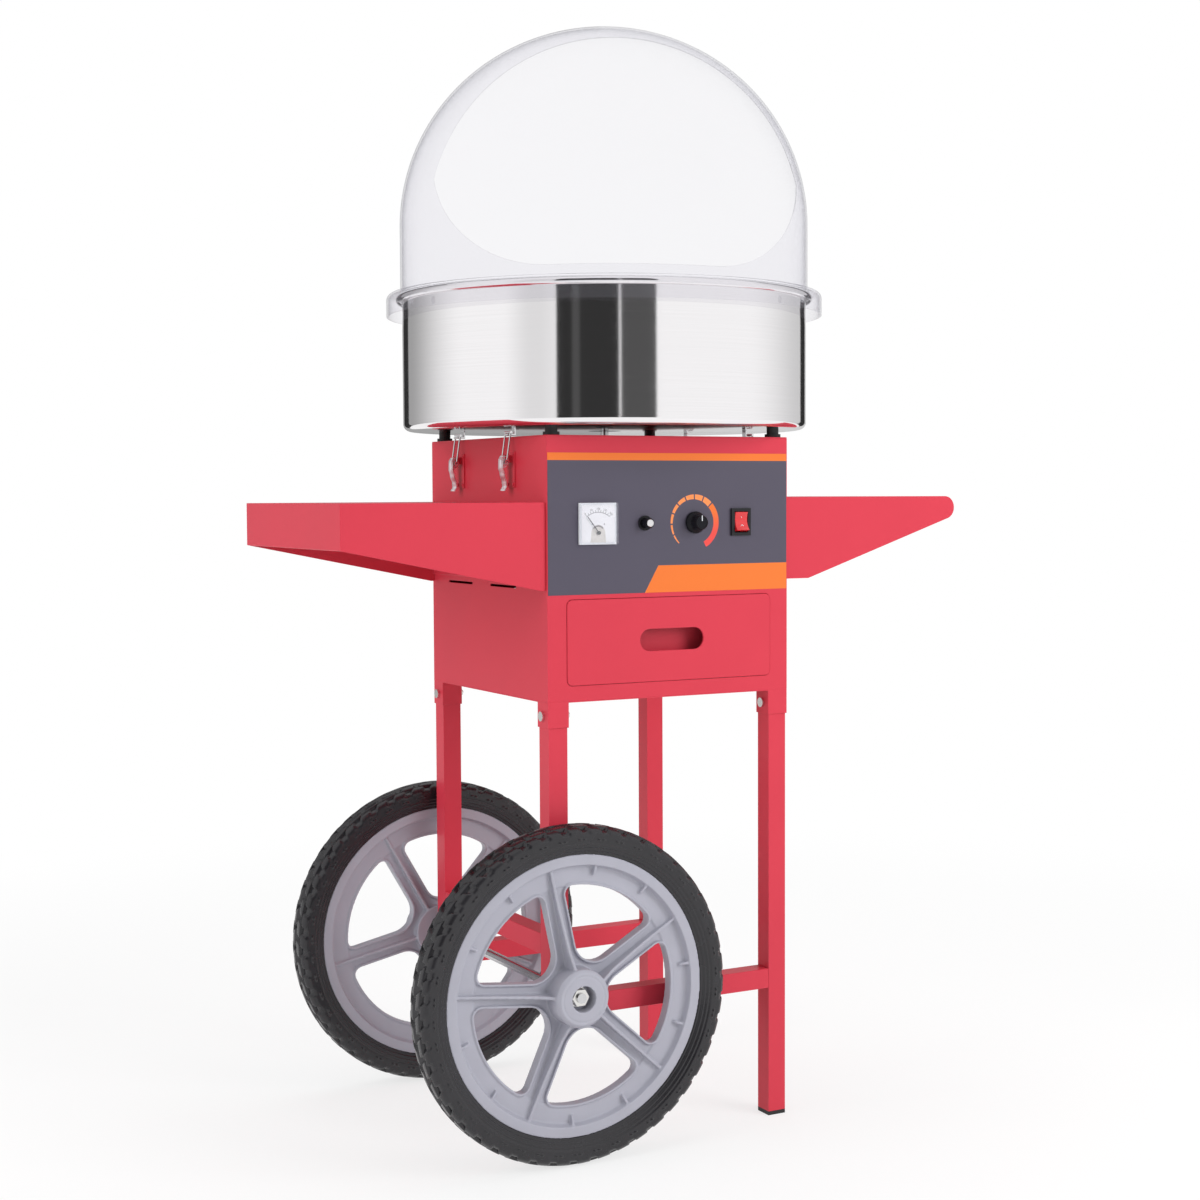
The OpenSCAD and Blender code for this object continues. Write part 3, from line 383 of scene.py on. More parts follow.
FINISHES = {
    "red": red_paint("red_gloss_paint"),
    "panel": panel_print("printed_panel"),
    "dial": meter_print("meter_print"),
    "dome": clear_sheet("clear_dome_plastic", (0.7, 0.7, 0.77), 0.02, 0.6, (0.968, 0.966, 0.974)),
    "cover": clear_sheet("clear_cover_plastic", (0.8, 0.81, 0.86), 0.1, 0.6, (0.98, 0.98, 0.985)),
    "zinc": metal("zinc_plate", (0.56, 0.56, 0.58), 0.38, (200, 200, 200), 0.00002),
    "chrome": metal("chrome_plate", (0.76, 0.75, 0.76), 0.1, (90, 90, 90)),
    "pressed": metal("pressed_steel", (0.88, 0.86, 0.88), 0.5, (90, 90, 90)),
    "bolt": metal("bolt_plate", (0.74, 0.73, 0.71), 0.2, (300, 300, 300), 0.00002),
    "bowl": metal("brushed_bowl_steel", (0.89, 0.875, 0.885), 0.07, (5, 5, 2200)),
    "shaft": metal("turned_steel", (0.62, 0.62, 0.63), 0.2, (30, 30, 2000)),
    "head": metal("spun_aluminium", (0.74, 0.74, 0.76), 0.25, (30, 30, 1500)),
    "brass": metal("brass_ring", (0.72, 0.5, 0.2), 0.22, (30, 30, 2000)),
    "heater": metal("dark_heater_steel", (0.2, 0.18, 0.17), 0.45, (400, 400, 400), 0.00003),
    "black": moulded("black_plastic", (0.012, 0.012, 0.014), 0.35, Specular_IOR_Level=0.3),
    "knob": moulded("satin_black_plastic", (0.008, 0.008, 0.011), 0.3, Specular_IOR_Level=0.15),
    "white": moulded("white_plastic", (0.78, 0.8, 0.84), 0.4),
    "ink": moulded("black_ink", (0.03, 0.03, 0.035), 0.5),
    "rubber": moulded("black_rubber", (0.014, 0.014, 0.014), 0.6, 900.0, 0.00006),
    "rim": moulded("grey_moulded_plastic", (0.385, 0.385, 0.445), 0.4, 700.0, 0.00008, 0.05),
    "tyre": moulded("tyre_rubber", (0.016, 0.015, 0.018), 0.27, 1100.0, 0.00005, 0.3),
    "brown": moulded("brown_plastic", (0.11, 0.05, 0.02), 0.5),
    "board": moulded("green_board", (0.02, 0.12, 0.045), 0.35, 1200.0, 0.00003, 0.2),
    "motor": moulded("dark_motor_paint", (0.035, 0.035, 0.04), 0.45),
    "rocker": moulded(
        "red_lamp_plastic", (0.66, 0.012, 0.018), 0.22, 500.0, 0.00002, Coat_Weight=0.6
    ),
}


# Mesh tools

JOIN_REACH = 1e-6
WELD_REACH = 0.00001
FLAT_ANGLE = math.radians(0.5)
EDGE_ANGLE = math.radians(35)
CREASE_ANGLE = math.radians(32)


def piece(name, mesh, finish, body, replaced=None, sharp=35):
    """Puts a mesh in the scene as a named piece that rides on a body."""
    for face in mesh.polygons:
        face.use_smooth = True
    mesh.set_sharp_from_angle(angle=math.radians(sharp))
    mesh.materials.clear()
    mesh.materials.append(FINISHES[finish])
    made = bpy.data.objects.new(name, mesh)
    scene.collection.objects.link(made)
    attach(made, body)
    if replaced:
        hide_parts(replaced)


def finished(bm, place=None):
    """The bmesh as a mesh, moved to its place."""
    bmesh.ops.recalc_face_normals(bm, faces=bm.faces)
    mesh = bpy.data.meshes.new("form")
    bm.to_mesh(mesh)
    bm.free()
    if place:
        mesh.transform(place)
    return mesh


def joined(*parts):
    """One bmesh from several bmeshes or meshes."""
    whole = bmesh.new()
    for part in parts:
        mesh = finished(part) if isinstance(part, bmesh.types.BMesh) else part
        whole.from_mesh(mesh)
        bpy.data.meshes.remove(mesh)
    return whole


def shaped(mesh, *steps):
    """The mesh after modifiers, each given as its kind and its settings."""
    holder = bpy.data.objects.new("form", mesh)
    scene.collection.objects.link(holder)
    for kind, settings in steps:
        modifier = holder.modifiers.new(kind.lower(), kind)
        for key, value in settings.items():
            setattr(modifier, key, value)
    graph = bpy.context.evaluated_depsgraph_get()
    result = bpy.data.meshes.new_from_object(holder.evaluated_get(graph))
    bpy.data.objects.remove(holder)
    return result


def flat_form(curve, place):
    """The bmesh of a curve or text, with its doubled points joined, moved to its place."""
    holder = bpy.data.objects.new("form", curve)
    mesh = bpy.data.meshes.new_from_object(holder)
    bpy.data.objects.remove(holder)
    bpy.data.curves.remove(curve)
    bm = bmesh.new()
    bm.from_mesh(mesh)
    bpy.data.meshes.remove(mesh)
    bmesh.ops.remove_doubles(bm, verts=bm.verts, dist=JOIN_REACH)
    bmesh.ops.transform(bm, matrix=place, verts=bm.verts)
    return bm


def arc(x, z, radius, start, end, steps):
    """Points of an arc, its angles in degrees from the first axis to the second."""
    turns = [math.radians(start + (end - start) * k / steps) for k in range(steps + 1)]
    return [(x + radius * math.cos(t), z + radius * math.sin(t)) for t in turns]


def prism(outlines, low, high, place=None):
    """A flat shape raised from low to high. Outlines inside the first one are holes."""
    curve = bpy.data.curves.new("form", "CURVE")
    curve.dimensions = "2D"
    curve.fill_mode = "BOTH"
    curve.extrude = (high - low) / 2
    for points in outlines:
        spline = curve.splines.new("POLY")
        spline.points.add(len(points) - 1)
        for point, (x, y) in zip(spline.points, points):
            point.co = (x, y, 0, 1)
        spline.use_cyclic_u = True
    lift = Matrix.Translation((0, 0, (low + high) / 2))
    return flat_form(curve, place @ lift if place else lift)


def loops_joined(rings, closed=False, caps=False):
    """Skins between rings of points, each a closed loop."""
    bm = bmesh.new()
    loops = [[bm.verts.new(point) for point in ring] for ring in rings]
    pairs = list(zip(loops, loops[1:]))
    if closed:
        pairs.append((loops[-1], loops[0]))
    for near, far in pairs:
        for i in range(len(near)):
            j = (i + 1) % len(near)
            bm.faces.new((near[i], near[j], far[j], far[i]))
    if caps:
        bm.faces.new(loops[0])
        bm.faces.new(loops[-1])
    bmesh.ops.remove_doubles(bm, verts=bm.verts, dist=JOIN_REACH)
    return bm


def lathe(profile, steps, ripple=None):
    """Turns (radius, height) points about an upright axis. ripple changes a radius by its turn."""
    rings = []
    for k in range(steps):
        t = 2 * math.pi * k / steps
        radii = [ripple(t, r, z) if ripple else r for r, z in profile]
        rings.append([(r * math.cos(t), r * math.sin(t), z) for r, (_, z) in zip(radii, profile)])
    return loops_joined(rings, closed=True)


def squares(rings):
    """A capped form through rounded squares: half width, half height, corner radius, height."""
    loops = []
    for half_x, half_y, corner, z in rings:
        loop = []
        for k, (sx, sy) in enumerate(((1, 1), (-1, 1), (-1, -1), (1, -1))):
            centre = (sx * (half_x - corner), sy * (half_y - corner))
            loop += arc(*centre, corner, 90 * k, 90 * k + 90, 5)
        loops.append([(x, y, z) for x, y in loop])
    return loops_joined(loops, caps=True)


def on_panel(x, z):
    """Stands a form on the panel: its Z faces forward, its Y points up."""
    return Matrix.Translation((x, panel_y, z)) @ UPRIGHT


def dress(finish, bevel, *names):
    """Gives construction nodes their finish. A bevel rounds their edges, and 0 leaves them."""
    for name in names:
        made = nodes[name]
        made.data.materials.clear()
        made.data.materials.append(FINISHES[finish])
        made.modifiers.new("weld", "WELD").merge_threshold = WELD_REACH
        if bevel > 0:
            flat = made.modifiers.new("flats", "DECIMATE")
            flat.decimate_type = "DISSOLVE"
            flat.angle_limit = FLAT_ANGLE
            edge = made.modifiers.new("edges", "BEVEL")
            edge.width = bevel
            edge.segments = 2
            edge.limit_method = "ANGLE"
            edge.angle_limit = EDGE_ANGLE
            made.modifiers.new("normals", "WEIGHTED_NORMAL").keep_sharp = True
        else:
            made.modifiers.new("creases", "EDGE_SPLIT").split_angle = CREASE_ANGLE


# Bowl

BOWL_RADIUS = 0.26
BOWL_WALL = 0.0012
BOWL_CORNER = 0.009
BOWL_SIDE = (0.03, 0.08, 0.13)
BEAD = 0.004
COLLAR_RADIUS = 0.022
COLLAR_HEIGHT = 0.026
COLLAR_ROUND = 0.003


def make_bowl():
    low, wall, corner, collar = bowl_low.z, BOWL_WALL, BOWL_CORNER, COLLAR_RADIUS
    bead, collar_top = BOWL_RADIUS - wall / 2 + BEAD, low + COLLAR_HEIGHT
    side = [low + height for height in BOWL_SIDE]
    profile = [(collar, low)] + arc(BOWL_RADIUS - corner, low + corner, corner, -90, 0, 10)
    profile += [(BOWL_RADIUS, z) for z in side]
    profile += arc(bead, rim_z - BEAD, BEAD + wall / 2, 180, -60, 24)
    profile += arc(bead, rim_z - BEAD, BEAD - wall / 2, -60, 180, 24)
    profile += [(BOWL_RADIUS - wall, z) for z in reversed(side)]
    profile += arc(BOWL_RADIUS - corner, low + corner, corner - wall, 0, -90, 10)
    profile += arc(collar + COLLAR_ROUND, low + wall + COLLAR_ROUND, COLLAR_ROUND, 270, 180, 5)
    profile += [(collar, collar_top), (collar - wall, collar_top), (collar - wall, low)]
    mesh = finished(lathe(profile, 192), Matrix.Translation((axis_x, 0, 0)))
    piece("spun_bowl", mesh, "bowl", "cart", "bowl")


# Dome

DOME_RADIUS = 0.262
DOME_WALL = 0.0025
DOME_STRAIGHT = 0.088
DOME_RISE = 0.252
DOME_STEPS = 72
DOME_FOOT = 0.006
FLANGE_RADIUS = 0.28
FLANGE_ROUND = 0.007
SEAT_HEIGHT = 0.026
SKIRT = 0.0258
OPENING_TURN = math.radians(20.5)
OPENING_RADIUS = 0.232
OPENING_RISE = 0.071
FOOT_RISE = 0.015
FOOT_ROUND = 0.125
FOOT_FLAT = 0.1
CUT_START = 0.04
CUT_DEPTH = 0.34
LUGS = 3
LUG_TURN = -86.7
LUG_HEIGHT = 0.011
LUG_STAND = 0.0006
LUG_RINGS = (
    (0.0042, 0.0046, 0.001, -0.0008),
    (0.0042, 0.0046, 0.001, 0.0002),
    (0.0034, 0.0038, 0.001, 0.0008),
    (0.0018, 0.0022, 0.0008, 0.0008),
)


def opening_outline():
    """The hand opening as (across, height): a circle with a flat foot and round corners."""
    ring = Vector((0, rim_z + OPENING_RISE))
    corner = Vector((FOOT_FLAT, rim_z + FOOT_RISE + FOOT_ROUND))
    between = corner - ring
    near = (OPENING_RADIUS**2 - FOOT_ROUND**2 + between.length**2) / (2 * between.length)
    off = math.sqrt(OPENING_RADIUS**2 - near**2)
    way = between.normalized()
    meet = ring + way * near + Vector((way.y, -way.x)) * off
    on_ring = math.degrees(math.atan2(meet.y - ring.y, meet.x))
    on_corner = math.degrees(math.atan2(meet.y - corner.y, meet.x - corner.x))
    points = arc(ring.x, ring.y, OPENING_RADIUS, on_ring, 180 - on_ring, 120)
    points += arc(-corner.x, corner.y, FOOT_ROUND, 180 - on_corner, 270, 30)[1:]
    points += arc(corner.x, corner.y, FOOT_ROUND, 270, 360 + on_corner, 30)[:-1]
    return points


def make_dome():
    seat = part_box("dome")[0].z + SEAT_HEIGHT
    out, wall, foot, fold = DOME_RADIUS, DOME_WALL, DOME_FOOT, FLANGE_ROUND
    spring = rim_z + DOME_STRAIGHT
    quarter = [math.pi / 2 * k / DOME_STEPS for k in range(DOME_STEPS + 1)]
    edge, heel = FLANGE_RADIUS - fold, out + foot
    profile = [(FLANGE_RADIUS - wall, seat - SKIRT), (FLANGE_RADIUS, seat - SKIRT)]
    profile += arc(edge, seat + wall - fold, fold, 0, 90, 8)
    profile += arc(heel, seat + wall + foot, foot, 270, 180, 8)
    profile += [(out * math.cos(t), spring + DOME_RISE * math.sin(t)) for t in quarter]
    inner, rise = out - wall, DOME_RISE - wall
    profile += [(inner * math.cos(t), spring + rise * math.sin(t)) for t in quarter[::-1]]
    profile += arc(heel, seat + wall + foot, foot + wall, 180, 270, 8)
    profile += arc(edge, seat + wall - fold, fold - wall, 90, 0, 8)
    mesh = finished(lathe(profile, 256))
    stand = Matrix.Rotation(-OPENING_TURN, 4, "Z") @ Matrix.Translation((0, -CUT_START, 0))
    block = finished(prism([opening_outline()], 0, CUT_DEPTH), stand @ UPRIGHT)
    cutter = bpy.data.objects.new("opening", block)
    scene.collection.objects.link(cutter)
    cut = {"object": cutter, "operation": "DIFFERENCE", "solver": "EXACT"}
    mesh = shaped(mesh, ("BOOLEAN", cut))
    bpy.data.objects.remove(cutter)
    mesh.transform(Matrix.Translation((axis_x, 0, 0)))
    piece("blown_dome", mesh, "dome", "dome_cover", "dome", sharp=40)
    lugs = []
    spot = Matrix.Translation((0, -FLANGE_RADIUS + wall + LUG_STAND, seat - SKIRT + LUG_HEIGHT))
    for k in range(LUGS):
        swing = Matrix.Rotation(math.radians(LUG_TURN + k * 360 / LUGS), 4, "Z")
        stand = Matrix.Translation((axis_x, 0, 0)) @ (swing @ spot @ UPRIGHT)
        lugs.append(finished(squares(LUG_RINGS), stand))
    piece("dome_lugs", finished(joined(*lugs)), "cover", "dome_cover")


# Wheels

SPOKES = 5
SPOKE_TURN = 72
FIRST_WINDOW = 66
RIM_RADIUS = 0.169
RIM_HALF = 0.0145
LEDGE_RADIUS = 0.1316
LEDGE_WIDTH = 0.0225
HUB_RADIUS = 0.0347
HUB_REACH = 0.032
BORE_RADIUS = 0.00605
NUT_WELL = 0.0155
NUT_DEPTH = 0.0185
WEB_HALF = 0.0035
LIP_WIDTH = 0.0028
LIP_HALF = 0.0072
RIDGE_THICK = 0.0038
GUSSET_THICK = 0.0034
GUSSET_TURN = 14
FINE_VOXEL = 0.0011
SPOKE_HALF = 0.014
WINDOW_INNER = 0.028
WINDOW_CORNER = 0.01
BACK_WHEEL_TURN = -78


def window_outline(turn, spread=0.0):
    """One window between two spokes, made larger all round by spread."""
    half_turn = SPOKE_TURN / 2
    half, inner = SPOKE_HALF - spread, WINDOW_INNER + spread
    corner, outer = WINDOW_CORNER + spread, LEDGE_RADIUS + spread
    centre = (SPOKE_HALF + WINDOW_INNER) / math.sin(math.radians(half_turn))
    mid = outer - corner
    edge = half_turn - math.degrees(math.asin((half + corner) / mid))
    x, y = mid * math.cos(math.radians(edge)), mid * math.sin(math.radians(edge))
    points = arc(centre, 0, inner, 90 + half_turn, 270 - half_turn, 16)
    points += arc(x, -y, corner, 270 - half_turn, 360 - edge, 8)
    points += arc(0, 0, outer, -edge, edge, 20)[1:-1]
    points += arc(x, y, corner, edge, 90 + half_turn, 8)
    spin = Matrix.Rotation(math.radians(turn), 2)
    return [tuple(spin @ Vector(point)) for point in points]


def blade(outline, thick, turn):
    """A thin upright web that follows a spoke, its outline as (distance, height)."""
    stand = Matrix.Rotation(math.radians(turn), 4, "Z") @ UPRIGHT
    return prism([outline], -thick / 2, thick / 2, stand)


def wheel_body():
    """The moulded rim, spokes and hub about Z, outer side up, middle at height zero."""
    outer = arc(0, 0, LEDGE_RADIUS + 0.004, 0, 357, 119)
    core = arc(0, 0, HUB_RADIUS - 0.008, 0, 354, 59)
    turns = [FIRST_WINDOW + SPOKE_TURN * k for k in range(SPOKES)]
    windows = [window_outline(turn) for turn in turns]
    parts = [prism([outer, core] + windows, -WEB_HALF, WEB_HALF)]
    ledge, half = LEDGE_RADIUS, RIM_HALF
    wall = ledge + LEDGE_WIDTH
    ridge = [(HUB_RADIUS - 0.003, -0.012), (wall, -0.0085), (wall, 0.0108)]
    ridge += [(ledge - 0.02, 0.0122), (HUB_RADIUS + 0.02, 0.018), (HUB_RADIUS - 0.003, 0.0262)]
    gusset = [(ledge + 0.0115, 0.003), (wall, 0.003), (wall, 0.0126)]
    gusset += [(ledge + 0.0175, 0.0118), (ledge + 0.0125, 0.0094)]
    for turn, window in zip(turns, windows):
        parts.append(prism([window_outline(turn, LIP_WIDTH), window], -LIP_HALF, LIP_HALF))
        parts.append(blade(ridge, RIDGE_THICK, turn - SPOKE_TURN / 2))
        for side in (-GUSSET_TURN, GUSSET_TURN):
            parts.append(blade(gusset, GUSSET_THICK, turn + side))
    flank = [(ledge, 0.005), (wall - 0.0012, 0.006), (wall, 0.0072)]
    flank += [(wall + 0.0022, half), (RIM_RADIUS, half)]
    ring = [(radius, -out) for radius, out in flank] + flank[::-1]
    parts.append(lathe(ring, 240))
    bore, top = BORE_RADIUS, HUB_REACH
    groove, floor = top - 0.0014, top - NUT_DEPTH
    hub = [(bore, -half), (HUB_RADIUS, -half), (HUB_RADIUS, top - 0.004)]
    hub += [(HUB_RADIUS - 0.004, top), (0.0284, top), (0.0278, groove), (0.0268, groove)]
    hub += [(0.0262, top), (NUT_WELL, top), (NUT_WELL, floor), (bore, floor)]
    parts.append(lathe(hub, 120))
    voxel = FINE_VOXEL
    remesh = ("REMESH", {"mode": "VOXEL", "voxel_size": voxel})
    return shaped(finished(joined(*parts)), remesh, ("SMOOTH", {"factor": 0.5, "iterations": 2}))


# Tyres

TREAD_PITCHES = 46
BEAD_RADIUS = 0.1692
SHOULDER_RADIUS = 0.1905
TYRE_RADIUS = 0.1991
TYRE_HALF = 0.0217
WALL_STEPS = 26
CROWN_STEPS = 34
FINE_STEPS = 16

# Tread: shares of a pitch, and distances from the middle of the tread

BLOCK_HEIGHT = 0.0039
BLOCK_SLANT = 23
BLOCK_SHARE = 0.4
LUG_SHARE = 0.34
LUG_SHIFT = 0.4
CROWN_HALF = 0.0125
GROOVE_HALF = 0.0012

# Side wall: rings and marks, placed by their share of the way from the bead to the shoulder

RINGS = 3
RINGS_START = 0.04
RINGS_END = 0.64
RING_DEPTH = 0.0011
MARKS_START = 0.78
MARK_MIDDLE = 0.89
MARK_SHARE = 0.19
MARK_SHIFT = 0.15
MARK_DEPTH = 0.0021


def eased(value, width):
    """Rises smoothly from 0 to 1 over a width."""
    t = min(max(value / width, 0), 1)
    return t * t * (3 - 2 * t)


def block_height(pitch, across):
    """Height of the tread at a place: slanted blocks on the crown, lugs on the shoulders."""
    skew = pitch + BLOCK_SLANT * abs(across) + (0 if across > 0 else 0.5)
    crown = eased(BLOCK_SHARE - abs(skew % 1 - 0.5), 0.05)
    crown *= eased(CROWN_HALF - abs(across), 0.001) * eased(abs(across) - GROOVE_HALF, 0.0008)
    lug = eased(LUG_SHARE - abs((skew + LUG_SHIFT) % 1 - 0.5), 0.05)
    lug *= eased(abs(across) - CROWN_HALF, 0.0012)
    return max(crown, lug)


def tyre_point(pitch, part, crown):
    """Radius, offset and slope on one half: part runs up the side wall, crown over the tread."""
    if crown:
        t = crown * math.pi / 2
        across = TYRE_HALF * math.cos(t) ** 0.6
        radius = SHOULDER_RADIUS + (TYRE_RADIUS - SHOULDER_RADIUS) * math.sin(t) ** 0.8
        return radius, across, t
    across = RIM_HALF + (TYRE_HALF - RIM_HALF) * math.sin(math.pi / 2 * min(1, part * 1.3))
    if RINGS_START < part < RINGS_END:
        way = (part - RINGS_START) / (RINGS_END - RINGS_START)
        across -= RING_DEPTH * math.sin(way * RINGS * math.pi) ** 2
    elif part > MARKS_START:
        off = abs((pitch + MARK_SHIFT) % 1 - 0.5)
        inner = eased(off - 0.05, 0.03) * eased(0.91 - part, 0.02)
        mark = eased(MARK_SHARE - off, 0.04) * eased(0.08 - abs(part - MARK_MIDDLE), 0.03)
        across += MARK_DEPTH * mark * (0.15 + 0.85 * inner)
    return BEAD_RADIUS + (SHOULDER_RADIUS - BEAD_RADIUS) * part, across, 0


def tyre_body():
    """The tyre about Z, with ribbed side walls, marked shoulders and tread blocks."""
    steps = TREAD_PITCHES * FINE_STEPS
    places = [(k / WALL_STEPS, 0) for k in range(WALL_STEPS + 1)]
    places += [(1, k / CROWN_STEPS) for k in range(1, CROWN_STEPS + 1)]
    places = [(1, *place) for place in places] + [(-1, *place) for place in places[-2::-1]]
    rings = []
    for k in range(steps):
        turn = 2 * math.pi * k / steps
        pitch = turn * TREAD_PITCHES / (2 * math.pi)
        ring = []
        for side, part, crown in places:
            radius, across, t = tyre_point(pitch, part, crown)
            if t:
                lift = BLOCK_HEIGHT * block_height(pitch, side * across) * eased(t, 0.35)
                radius += lift * math.sin(t)
                across += lift * math.cos(t) * 0.15
            ring.append((radius * math.cos(turn), radius * math.sin(turn), side * across))
        rings.append(ring)
    return finished(loops_joined(rings, closed=True))


def make_wheels():
    body, tyre = wheel_body(), tyre_body()
    for end, stand, spin in (("front", 90, 0), ("back", -90, BACK_WHEEL_TURN)):
        place = Matrix.Translation(middle(end + "_tyre"))
        place = place @ Matrix.Rotation(math.radians(stand), 4, "X")
        place = place @ Matrix.Rotation(math.radians(spin), 4, "Z")
        wheel = end + "_wheel"
        for name, mesh, slot in (("rim", body, "rim_grey"), ("tyre", tyre, "tyre_rubber")):
            form = mesh.copy()
            form.transform(place)
            piece(f"{end}_moulded_{name}", form, name, wheel, f"{end}_{name}", sharp=60)


# Controls

KNOB_RADIUS = 0.0135
KNOB_FACE = 0.0092
KNOB_DEPTH = 0.018
KNOB_FLUTES = 24
KNOB_CUT = 0.00028
POINTER_LIFT = 0.0053
FUSE_RADIUS = 0.0066
FUSE_FLUTES = 20
FUSE_CUT = 0.0002


def flutes(count, depth, radius, height):
    """A ripple for lathe: flutes cut in the skin outside a radius and past a height."""

    def ripple(turn, skin, out):
        cut = depth * (0.5 - 0.5 * math.cos(count * turn))
        return skin - cut if skin > radius and out > height else skin

    return ripple


def make_knob():
    spot = on_panel(middle("control_knob").x, middle("speed_control").z)
    profile = [(0.0056, 0.003), (0.0056, 0.0003), (KNOB_RADIUS - 0.0003, 0.0003)]
    profile += [(KNOB_RADIUS, 0.0006), (KNOB_RADIUS, 0.0034), (KNOB_RADIUS - 0.0004, 0.004)]
    profile += [(0.0104, 0.0064), (0.0098, 0.0076), (0.0095, 0.0086)]
    profile += [(KNOB_FACE + 0.0001, 0.012), (KNOB_FACE, 0.0162), (0.0088, 0.0173)]
    profile += [(0.0082, KNOB_DEPTH), (0.0074, KNOB_DEPTH), (0.0069, 0.0176)]
    profile += [(0, 0.0174), (0, 0.003)]
    ripple = flutes(KNOB_FLUTES, KNOB_CUT, KNOB_FACE - 0.0006, 0.0075)
    mesh = finished(lathe(profile, 144, ripple), spot)
    piece("fluted_knob", mesh, "knob", "knob", "control_knob")
    bar = [(0.0006, 0.0034, 0.0005, 0.0172), (0.0006, 0.0034, 0.0005, 0.0179)]
    bar += [(0.0004, 0.0032, 0.0004, 0.0181)]
    lift = Matrix.Translation((0, POINTER_LIFT, 0))
    piece("knob_pointer", finished(squares(bar), spot @ lift), "white", "knob")


def make_fuse_cap():
    spot = on_panel(middle("fuse_cap").x, middle("fuse_cap").z)
    profile = [(0.0036, -0.02), (0.0036, 0.0023), (0.0064, 0.0023), (FUSE_RADIUS, 0.0026)]
    profile += [(FUSE_RADIUS, 0.0118), (0.0063, 0.0127), (0.0057, 0.013), (0.0042, 0.013)]
    profile += [(0, 0.013), (0, -0.02)]
    ripple = flutes(FUSE_FLUTES, FUSE_CUT, FUSE_RADIUS - 0.0006, 0.004)
    mesh = finished(lathe(profile, 100, ripple), spot)
    piece("fuse_cap_body", mesh, "knob", "fuse_plug", "fuse_cap")
    end = [(0.0044, 0.0128), (0.0046, 0.0132), (0.0046, 0.0144), (0.0042, 0.0149)]
    end += [(0.0036, 0.015), (0.0034, 0.0146), (0, 0.0146), (0, 0.0128)]
    piece("fuse_cap_end", finished(lathe(end, 64), spot), "chrome", "fuse_plug")
    ring = arc(0.0086, 0.0021, 0.0005, 0, 330, 11)
    piece("fuse_ring", finished(lathe(ring, 96), spot), "black", "cart")


NUMBERS = ("0", "50", "100", "150", "200")
NUMBER_SIZE = 0.0034
NUMBER_RISE = 0.0038
DIAL_FACE = 0.00362

# The meter's cover from its inside to its front: half width, corner radius and height

COVER_RINGS = (
    (0.0196, 0.001, 0.0105),
    (0.0226, 0.001, 0.008),
    (0.0228, 0.001, 0.0031),
    (0.0249, 0.002, 0.0031),
    (0.025, 0.002, 0.0035),
    (0.025, 0.002, 0.0083),
    (0.0247, 0.002, 0.0088),
    (0.0212, 0.0015, 0.0117),
    (0.0208, 0.0015, 0.012),
)


def make_meter():
    dial = middle("meter_dial")
    spot = on_panel(dial.x, dial.z)
    rings = [(half, half, corner, out) for half, corner, out in COVER_RINGS]
    mesh = finished(squares(rings), spot)
    piece("bevelled_cover", mesh, "cover", "cart", "meter_cover", sharp=20)
    digits = []
    for k, number in enumerate(NUMBERS):
        text = bpy.data.curves.new("number", "FONT")
        text.body = number
        text.size = NUMBER_SIZE
        text.align_x, text.align_y = "CENTER", "CENTER"
        turn = math.radians(DIAL_SWING * (2 * k / (len(NUMBERS) - 1) - 1))
        place = Matrix.Translation((0, -DIAL_DROP, DIAL_FACE)) @ Matrix.Rotation(-turn, 4, "Z")
        reach = Matrix.Translation((0, DIAL_RADIUS + NUMBER_RISE, 0))
        digits.append(flat_form(text, place @ reach))
    piece("dial_numbers", finished(joined(*digits), spot), "ink", "cart")


ROCKER_HALF = 0.0114
ROCKER_WIDE = 0.009
ROCKER_STAND = 0.0016
ROCKER_CURVE = 0.004
ROCKER_LEAN = -10
SIGN_HEIGHT = 0.006
SIGN_THICK = 0.00012


def make_rocker():
    switch = middle("switch_bezel")
    pivot = Matrix.Translation((switch.x, panel_y - 0.001, middle("switch_rocker").z))
    pivot = pivot @ Matrix.Rotation(math.radians(ROCKER_LEAN), 4, "X")

    def face(z):
        return -ROCKER_STAND - ROCKER_CURVE * (z / ROCKER_HALF) ** 2

    heights = [ROCKER_HALF * (1 - k / 8) for k in range(17)]
    outline = [(face(z), z) for z in heights]
    outline += [(0.0005, -0.012), (0.008, -0.005), (0.008, 0.005), (0.0005, 0.012)]
    stand = Matrix(((0, 0, 1, 0), (1, 0, 0, 0), (0, 1, 0, 0), (0, 0, 0, 1)))
    mesh = finished(prism([outline], -ROCKER_WIDE, ROCKER_WIDE, pivot @ stand))
    rounding = {"width": 0.0005, "segments": 3, "limit_method": "ANGLE"}
    rounding["angle_limit"] = math.radians(40)
    mesh = shaped(mesh, ("BEVEL", rounding))
    piece("curved_rocker", mesh, "rocker", "rocker", "switch_rocker", sharp=50)
    bar = [(-0.0003, -0.0018), (0.0003, -0.0018), (0.0003, 0.0018), (-0.0003, 0.0018)]
    ring = [arc(0, 0, 0.0019, 0, 354, 59), arc(0, 0, 0.0013, 0, 354, 59)]
    marks = []
    for z, form in ((SIGN_HEIGHT, [bar]), (-SIGN_HEIGHT, ring)):
        lean = math.atan(2 * ROCKER_CURVE * z / ROCKER_HALF**2)
        place = pivot @ Matrix.Translation((0, face(z) - 0.00002, z))
        place = place @ Matrix.Rotation(math.radians(90) - lean, 4, "X")
        marks.append(prism(form, 0, SIGN_THICK, place))
    piece("rocker_marks", finished(joined(*marks)), "white", "rocker")


# Latches

LATCH_DROP = 0.026
LEVER_THICK = 0.0011
LEVER_BOW = 0.0022
LEVER_STEPS = 6

# Places down the lever: how far out of the wall, height and half width

LEVER_LINE = (
    (0.0138, 0.0045, 0.0046),
    (0.0168, -0.002, 0.0052),
    (0.0172, -0.01, 0.0058),
    (0.0153, -0.019, 0.0058),
    (0.0126, -0.028, 0.0056),
    (0.012, -0.033, 0.0056),
    (0.0146, -0.0385, 0.0058),
)

